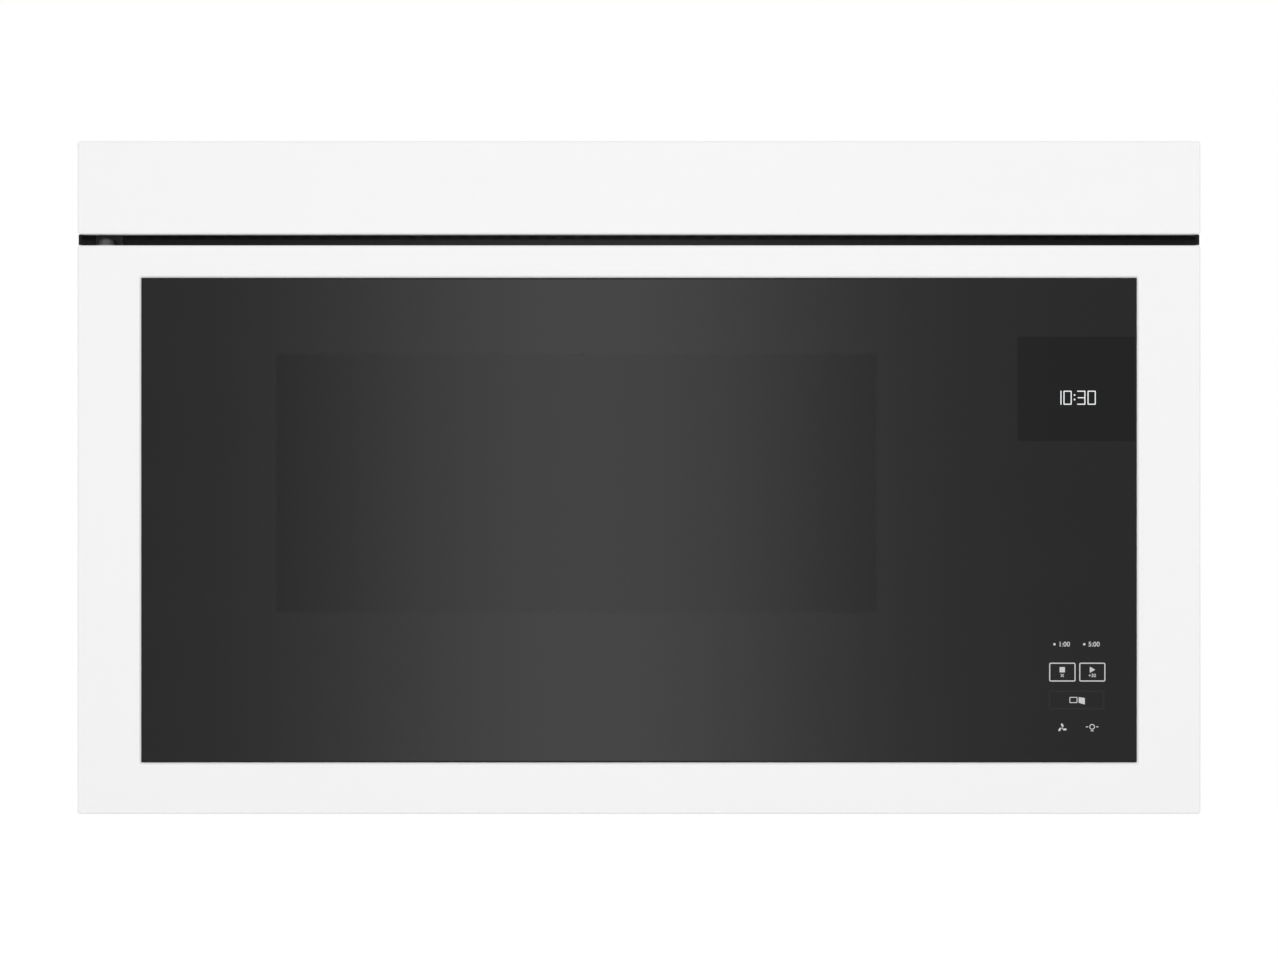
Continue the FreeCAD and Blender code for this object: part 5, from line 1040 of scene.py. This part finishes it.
def measure_screw(points):
    """The head's outer face, the direction that it faces, its radius, its height and the screw's length."""
    low = Vector([min(point[i] for point in points) for i in range(3)])
    high = Vector([max(point[i] for point in points) for i in range(3)])
    size, centre = high - low, (low + high) / 2
    axis = min(range(3), key=lambda i: abs(size[(i + 1) % 3] - size[(i + 2) % 3]))
    sides = [i for i in range(3) if i != axis]
    radius = max(size[i] for i in sides) / 2
    head = [point[axis] for point in points if max(abs(point[i] - centre[i]) for i in sides) > radius * 0.8]
    outward = sum(head) / len(head) > centre[axis]
    facing = Vector([(1.0 if outward else -1.0) if i == axis else 0.0 for i in range(3)])
    outer = high if outward else low
    face = Vector([outer[i] if i == axis else centre[i] for i in range(3)])
    return face, facing, radius, max(head) - min(head), size[axis]


def screw_places(node):
    """The measures of each screw of a node, read from a merged copy of its mesh."""
    mesh = bmesh.new()
    mesh.from_mesh(frame["nodes"][node].data)
    bmesh.ops.remove_doubles(mesh, verts=mesh.verts, dist=1e-5)
    places = [measure_screw(points) for points in shells(mesh)]
    mesh.free()
    return sorted(places, key=lambda entry: tuple(entry[0]))


def pan_screw(radius, head, total, sizes):
    """A pan-head screw with a cross recess, its head's outer face at the origin, facing +Z."""
    dome, recess_taper, shank_radius, tip = head * 0.62, 0.55, radius * 0.5, radius * 0.14
    cylinder = bpy.ops.mesh.primitive_cylinder_add
    screw = start("screw", cylinder, vertices=28, radius=radius, depth=head, location=(0.0, 0.0, -head / 2))
    bevel(screw, lambda a, b: a.z > -1e-7 and b.z > -1e-7, dome, 4)
    reach, width, depth = sizes.recess_reach * MM, sizes.recess_width * MM, sizes.recess_depth * MM
    for half_x, half_y in ((reach, width / 2), (width / 2, reach)):
        cutter = block((-half_x, -half_y, -depth), (half_x, half_y, depth))
        edit(cutter, lambda middle, normal: normal.z < -0.5)
        bpy.ops.transform.resize(value=(recess_taper, recess_taper, 1.0), center_override=(0.0, 0.0, -depth))
        leave_edit()
        cut(screw, cutter)
    shank = start("shank", cylinder, vertices=16, radius=shank_radius, depth=total - head,
                  location=(0.0, 0.0, -(total + head) / 2))
    bevel(shank, lambda middle, normal: normal.z < -0.9, tip, 2, "FACE")
    return join([screw, shank], "screw")


class OVEN_OT_screws(bpy.types.Operator):
    """Put a pan-head screw with a cross recess at each screw of the case and of the door"""

    bl_idname = "oven.screws"
    bl_label = "Screws"

    def execute(self, context):
        recess_turn = 0.7  # from one screw's recess to the next
        sets = (("case_screws", "case", "case_screw_set"), ("door_screws", "door", "door_screw_set"))
        for node, body, name in sets:
            kinds = {}
            for point, facing, *measures in screw_places(node):
                kinds.setdefault(tuple(round(value, 5) for value in measures), []).append((point, facing))
            if not kinds:
                raise RuntimeError("no screws found in " + node)
            made = []
            for kind, spots in sorted(kinds.items(), key=lambda item: item[0]):
                places = []
                for index, (point, facing) in enumerate(spots):
                    outward = facing.to_track_quat("Z", "Y").to_matrix().to_4x4()
                    turn = Matrix.Rotation(recess_turn * index, 4, "Z")
                    places.append(Matrix.Translation(point) @ outward @ turn)
                made += copies(pan_screw(*kind, context.scene.oven_screws), places)
            fasten(join(made, name), body, finish("bare_steel"))
            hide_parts(node)
        return {"FINISHED"}


def ribbed_lens(name, left, low, high, sizes):
    """A lens from its left end on: a plate with a hollow back, and a ribbed plug that fills its opening."""
    lip, plug, corner, back_rim, hollow, spare = 4.0 * MM, 1.0 * MM, 5.6 * MM, 5.0 * MM, 1.0 * MM, 1.0 * MM
    right = left + LENS_LENGTH * MM
    x0, x1, y0, y1 = left + lip, right - lip, low.y + lip, high.y - lip
    columns = 2 * round((x1 - x0) / (sizes.rib_pitch * MM))
    pitch = (x1 - x0) / columns
    middle = ((x0 + x1) / 2, (low.y + high.y) / 2, low.z)
    lens = start("lens", bpy.ops.mesh.primitive_grid_add, x_subdivisions=columns, y_subdivisions=2, size=1.0,
                 location=middle, scale=(x1 - x0, y1 - y0, 1.0))
    edit(lens, lambda spot: round((spot.x - x0) / pitch) % 2 == 1, "VERT")
    bpy.ops.transform.translate(value=(0.0, 0.0, sizes.rib_depth * MM))
    bpy.ops.mesh.select_all(action="SELECT")
    bpy.ops.mesh.extrude_region_move(TRANSFORM_OT_translate={"value": (0.0, 0.0, plug)})
    bpy.ops.transform.resize(value=(1.0, 1.0, 0.0), center_override=(0.0, 0.0, low.z + plug))
    bpy.ops.mesh.select_all(action="SELECT")
    bpy.ops.mesh.normals_make_consistent(inside=False)
    leave_edit()
    keep = block((x0, y0, low.z - spare), (x1, y1, low.z + plug + spare))
    plate = block((left, low.y, low.z + plug), (right, high.y, high.z))
    for piece in (keep, plate):
        bevel(piece, lambda a, b: abs(a.z - b.z) > 1.0 * MM, corner, 6)
    cut(lens, keep, "INTERSECT")
    edit(plate, lambda middle, normal: normal.z > 0.9)
    bpy.ops.mesh.inset(thickness=back_rim)
    bpy.ops.mesh.extrude_region_move(TRANSFORM_OT_translate={"value": (0.0, 0.0, -hollow)})
    leave_edit()
    return join([lens, plate], name)


class OVEN_OT_lamp_lenses(bpy.types.Operator):
    """Model the two ribbed lenses of the cooktop lamps"""

    bl_idname = "oven.lamp_lenses"
    bl_label = "Lamp lenses"

    def execute(self, context):
        low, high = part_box("hood_lenses")
        last = high.x - (high.y - low.y) / LENS_WIDTH * LENS_LENGTH
        sizes = context.scene.oven_lenses
        sides = (("left", low.x), ("right", last))
        made = [ribbed_lens(side + "_lamp_lens", x, low, high, sizes) for side, x in sides]
        for lens in made:
            fasten(lens, "case", finish("frosted_lens"))
            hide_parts("hood_lenses")
        return {"FINISHED"}


def expanded_mesh(name, low, high, sizes):
    """A net of flat diamonds over a filter's pad, cut to the opening of its frame."""
    net_z, diamond_squash = 2.4 * MM, 0.6
    middle = (low + high) / 2
    half_x, half_y = (high.x - low.x) / 2 - FILTER_RIM, (high.y - low.y) / 2 - FILTER_RIM
    width = 2 * (half_x + half_y)
    rows = round(width / (sizes.diamond_pitch * MM / math.sqrt(2.0)))
    net = start(name, bpy.ops.mesh.primitive_grid_add, x_subdivisions=rows, y_subdivisions=rows, size=width,
                rotation=(0.0, 0.0, math.pi / 4))
    net.scale.y = diamond_squash
    net.location = (middle.x, middle.y, net_z)
    settle(net, name)
    for x, y, half in ((1, 0, half_x), (-1, 0, half_x), (0, 1, half_y), (0, -1, half_y)):
        outward = Vector((x, y, 0))
        edit(net, lambda middle, normal: True)
        bpy.ops.mesh.bisect(plane_co=middle + outward * half, plane_no=outward, clear_outer=True)
        leave_edit()
    strand = sizes.strand * MM
    modify(net, "WIREFRAME", thickness=strand, use_even_offset=False, use_boundary=True, use_replace=True)
    return net


def pull_ring(name, low, high):
    """A wire ring that lies flat under a filter, pinched where a folded strap holds it."""
    x, front = ((low + high) / 2).x, low.y + 9.0 * MM
    ring_radius, wire_radius, ring_z, pinch = 7.0 * MM, 0.42 * MM, 0.5 * MM, 0.25
    ring_y, held_y = front + 8.4 * MM, front + 5.5 * MM
    strap_half, strap_foot, strap_edge = 5.0 * MM, 0.15 * MM, 0.35 * MM
    ring = start("ring", bpy.ops.mesh.primitive_torus_add, major_segments=40, minor_segments=10,
                 major_radius=ring_radius, minor_radius=wire_radius, location=(x, ring_y, ring_z))
    edit(ring, lambda spot: spot.y < held_y, "VERT")
    bpy.ops.transform.resize(value=(1.0, pinch, 1.0), center_override=(x, held_y, ring_z))
    leave_edit()
    strap_back = front + 6.5 * MM
    strap = block((x - strap_half, front + 1.0 * MM, strap_foot), (x + strap_half, strap_back, 1.0 * MM))
    bevel(strap, lambda a, b: a.z < 0.2 * MM and b.z < 0.2 * MM, strap_edge, 3)
    return join([ring, strap], name)


class OVEN_OT_filter_mesh(bpy.types.Operator):
    """Model the expanded mesh and the pull ring of each grease filter"""

    bl_idname = "oven.filter_mesh"
    bl_label = "Filter mesh"

    def execute(self, context):
        for side in ("left", "right"):
            low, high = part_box("grease_filter_" + side)
            net = expanded_mesh("expanded_mesh_" + side, low, high, context.scene.oven_filters)
            fasten(net, side + "_filter", finish("aluminium"))
            pull = pull_ring("pull_ring_" + side, low, high)
            fasten(pull, side + "_filter", finish("bare_steel"))
        return {"FINISHED"}


def seen_by(tree, *kinds):
    """A mask that is 1 for the camera's rays and for the kinds of ray that are named."""
    path = tree.add("ShaderNodeLightPath").outputs
    mask = path["Is Camera Ray"]
    for kind in kinds:
        mask = tree.math("MAXIMUM", mask, path[kind])
    return mask


class OVEN_OT_stage(bpy.types.Operator):
    """Set the floor, the world, the lamps and the camera"""

    bl_idname = "oven.stage"
    bl_label = "Studio"

    def execute(self, context):
        stage = context.scene.oven_stage
        self.world(context, stage)
        self.floor(stage)
        self.card()
        self.lamps(stage)
        self.camera(context, stage)
        context.scene.view_settings.view_transform = "Standard"
        return {"FINISHED"}

    def plane(self, name, **settings):
        """A plane with a material of its own, and that material's tree."""
        plane = start(name, bpy.ops.mesh.primitive_plane_add, **settings)
        material = bpy.data.materials.new(name)
        material.use_nodes = True
        wear(plane, material)
        return plane, Tree(material.node_tree)

    def world(self, context, stage):
        world = bpy.data.worlds.new("studio_air")
        world.use_nodes = True
        tree = Tree(world.node_tree)
        strength = tree.span(seen_by(tree, "Is Glossy Ray", "Is Transmission Ray"), stage.sky, 1.0)
        air = tree.add("ShaderNodeBackground", {"Color": (1.0, 1.0, 1.0, 1.0), "Strength": strength})
        tree.add("ShaderNodeOutputWorld", {"Surface": air.outputs[0]})
        context.scene.world = world

    def floor(self, stage):
        """A wide white floor that the camera sees as bare white, and that is clear from below."""
        width, white, glow_strength, glow_share = 60.0, (0.92, 0.92, 0.92, 1.0), 1.03, 0.93
        floor, tree = self.plane("studio_floor", size=width, location=(0.0, 0.0, -stage.floor_drop))
        matt = tree.add("ShaderNodeBsdfDiffuse", {"Color": white}).outputs[0]
        inputs = {"Color": (1.0, 1.0, 1.0, 1.0), "Strength": glow_strength}
        glow = tree.add("ShaderNodeEmission", inputs).outputs[0]
        clear = tree.add("ShaderNodeBsdfTransparent").outputs[0]
        share = tree.math("MULTIPLY", seen_by(tree, "Is Transmission Ray"), glow_share)
        lit = tree.add("ShaderNodeMixShader", {0: share, 1: matt, 2: glow}).outputs[0]
        back = tree.add("ShaderNodeNewGeometry").outputs["Backfacing"]
        both = tree.add("ShaderNodeMixShader", {0: back, 1: lit, 2: clear}).outputs[0]
        tree.add("ShaderNodeOutputMaterial", {"Surface": both})
        floor.visible_glossy = False
        floor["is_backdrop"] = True

    def card(self):
        """A soft light card behind the camera that only reflections see, brightest along an upright line."""
        size, place, off_middle, spread, strength = 8.0, (0.0, -5.18, 0.2), 0.079, 0.287, 2.2
        card, tree = self.plane("light_card", size=size, location=place, rotation=(math.pi / 2, 0.0, 0.0))
        across = tree.axes(tree.add("ShaderNodeTexCoord").outputs["Object"])[0]
        scaled = tree.math("DIVIDE", tree.math("ADD", across, off_middle), spread)
        bell = tree.math("EXPONENT", tree.math("MULTIPLY", tree.math("MULTIPLY", scaled, scaled), -0.5))
        glow = tree.add("ShaderNodeEmission", {"Strength": tree.math("MULTIPLY", bell, strength)}).outputs[0]
        clear = tree.add("ShaderNodeBsdfTransparent").outputs[0]
        both = tree.add("ShaderNodeAddShader", {0: glow, 1: clear}).outputs[0]
        tree.add("ShaderNodeOutputMaterial", {"Surface": both})
        card.visible_camera = card.visible_diffuse = card.visible_shadow = card.visible_transmission = False
        card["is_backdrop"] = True

    def lamps(self, stage):
        """Area lamps that face the oven: name, place, size, power and whether reflections show them."""
        plan = (
            ("front_right", (2.9, -4.4, 1.9), 2.6, 44.0, True),
            ("front_left", (-3.4, -3.9, 1.5), 2.6, 35.0, True),
            ("front_low", (0.2, -4.6, 0.4), 1.8, 18.5, False),
            ("overhead", (0.3, -0.9, 3.4), 3.0, 6.0, False),
            ("rear_left", (-2.8, 3.6, 1.7), 2.4, 28.0, False),
            ("rear_right", (3.2, 3.2, 1.3), 2.4, 24.0, False),
        )
        target = Vector((0.0, 0.0, 0.22))
        for name, place, size, power, mirrored in plan:
            data = bpy.data.lights.new(name, "AREA")
            data.size, data.energy = size, power * stage.light
            lamp = bpy.data.objects.new(name, data)
            lamp.location = place
            lamp.visible_glossy = mirrored
            lamp.rotation_euler = (target - Vector(place)).to_track_quat("-Z", "Y").to_euler()
            bpy.context.scene.collection.objects.link(lamp)

    def camera(self, context, stage):
        data = bpy.data.cameras.new("camera")
        data.lens, data.sensor_width = stage.lens, 36.0
        data.clip_end = 100.0
        camera = bpy.data.objects.new("camera", data)
        camera.location = (0.0, -stage.view_distance, stage.view_height)
        camera.rotation_euler = (math.pi / 2, 0.0, 0.0)
        context.scene.collection.objects.link(camera)
        context.scene.camera = camera


OPERATORS = (
    OVEN_OT_finishes,
    OVEN_OT_clock,
    OVEN_OT_key_prints,
    OVEN_OT_cavity_corners,
    OVEN_OT_spot_welds,
    OVEN_OT_screws,
    OVEN_OT_lamp_lenses,
    OVEN_OT_filter_mesh,
    OVEN_OT_stage,
)


class OVEN_PT_panel(bpy.types.Panel):
    """Buttons for every piece and the studio"""

    bl_idname = "OVEN_PT_panel"
    bl_label = "Microwave"
    bl_space_type = "VIEW_3D"
    bl_region_type = "UI"
    bl_category = "Oven"

    def draw(self, context):
        column = self.layout.column()
        for operator in OPERATORS:
            column.operator(operator.bl_idname)
        for key, group in SETTINGS.items():
            box = self.layout.box()
            for name in group.__annotations__:
                box.prop(getattr(context.scene, key), name)


CLASSES = (*SETTINGS.values(), *OPERATORS, OVEN_PT_panel)


def register():
    for entry in CLASSES:
        bpy.utils.register_class(entry)
    for key, group in SETTINGS.items():
        setattr(bpy.types.Scene, key, PointerProperty(type=group))


def unregister():
    for key in SETTINGS:
        delattr(bpy.types.Scene, key)
    for entry in reversed(CLASSES):
        bpy.utils.unregister_class(entry)


def main():
    register()
    for operator in OPERATORS:
        family, name = operator.bl_idname.split(".")
        getattr(getattr(bpy.ops, family), name)()
    boxes = {"cad": frame_box, "visual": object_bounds()}
    {key: [list(corner) for corner in corners] for key, corners in boxes.items()}


if __name__ == "__main__":
    main()
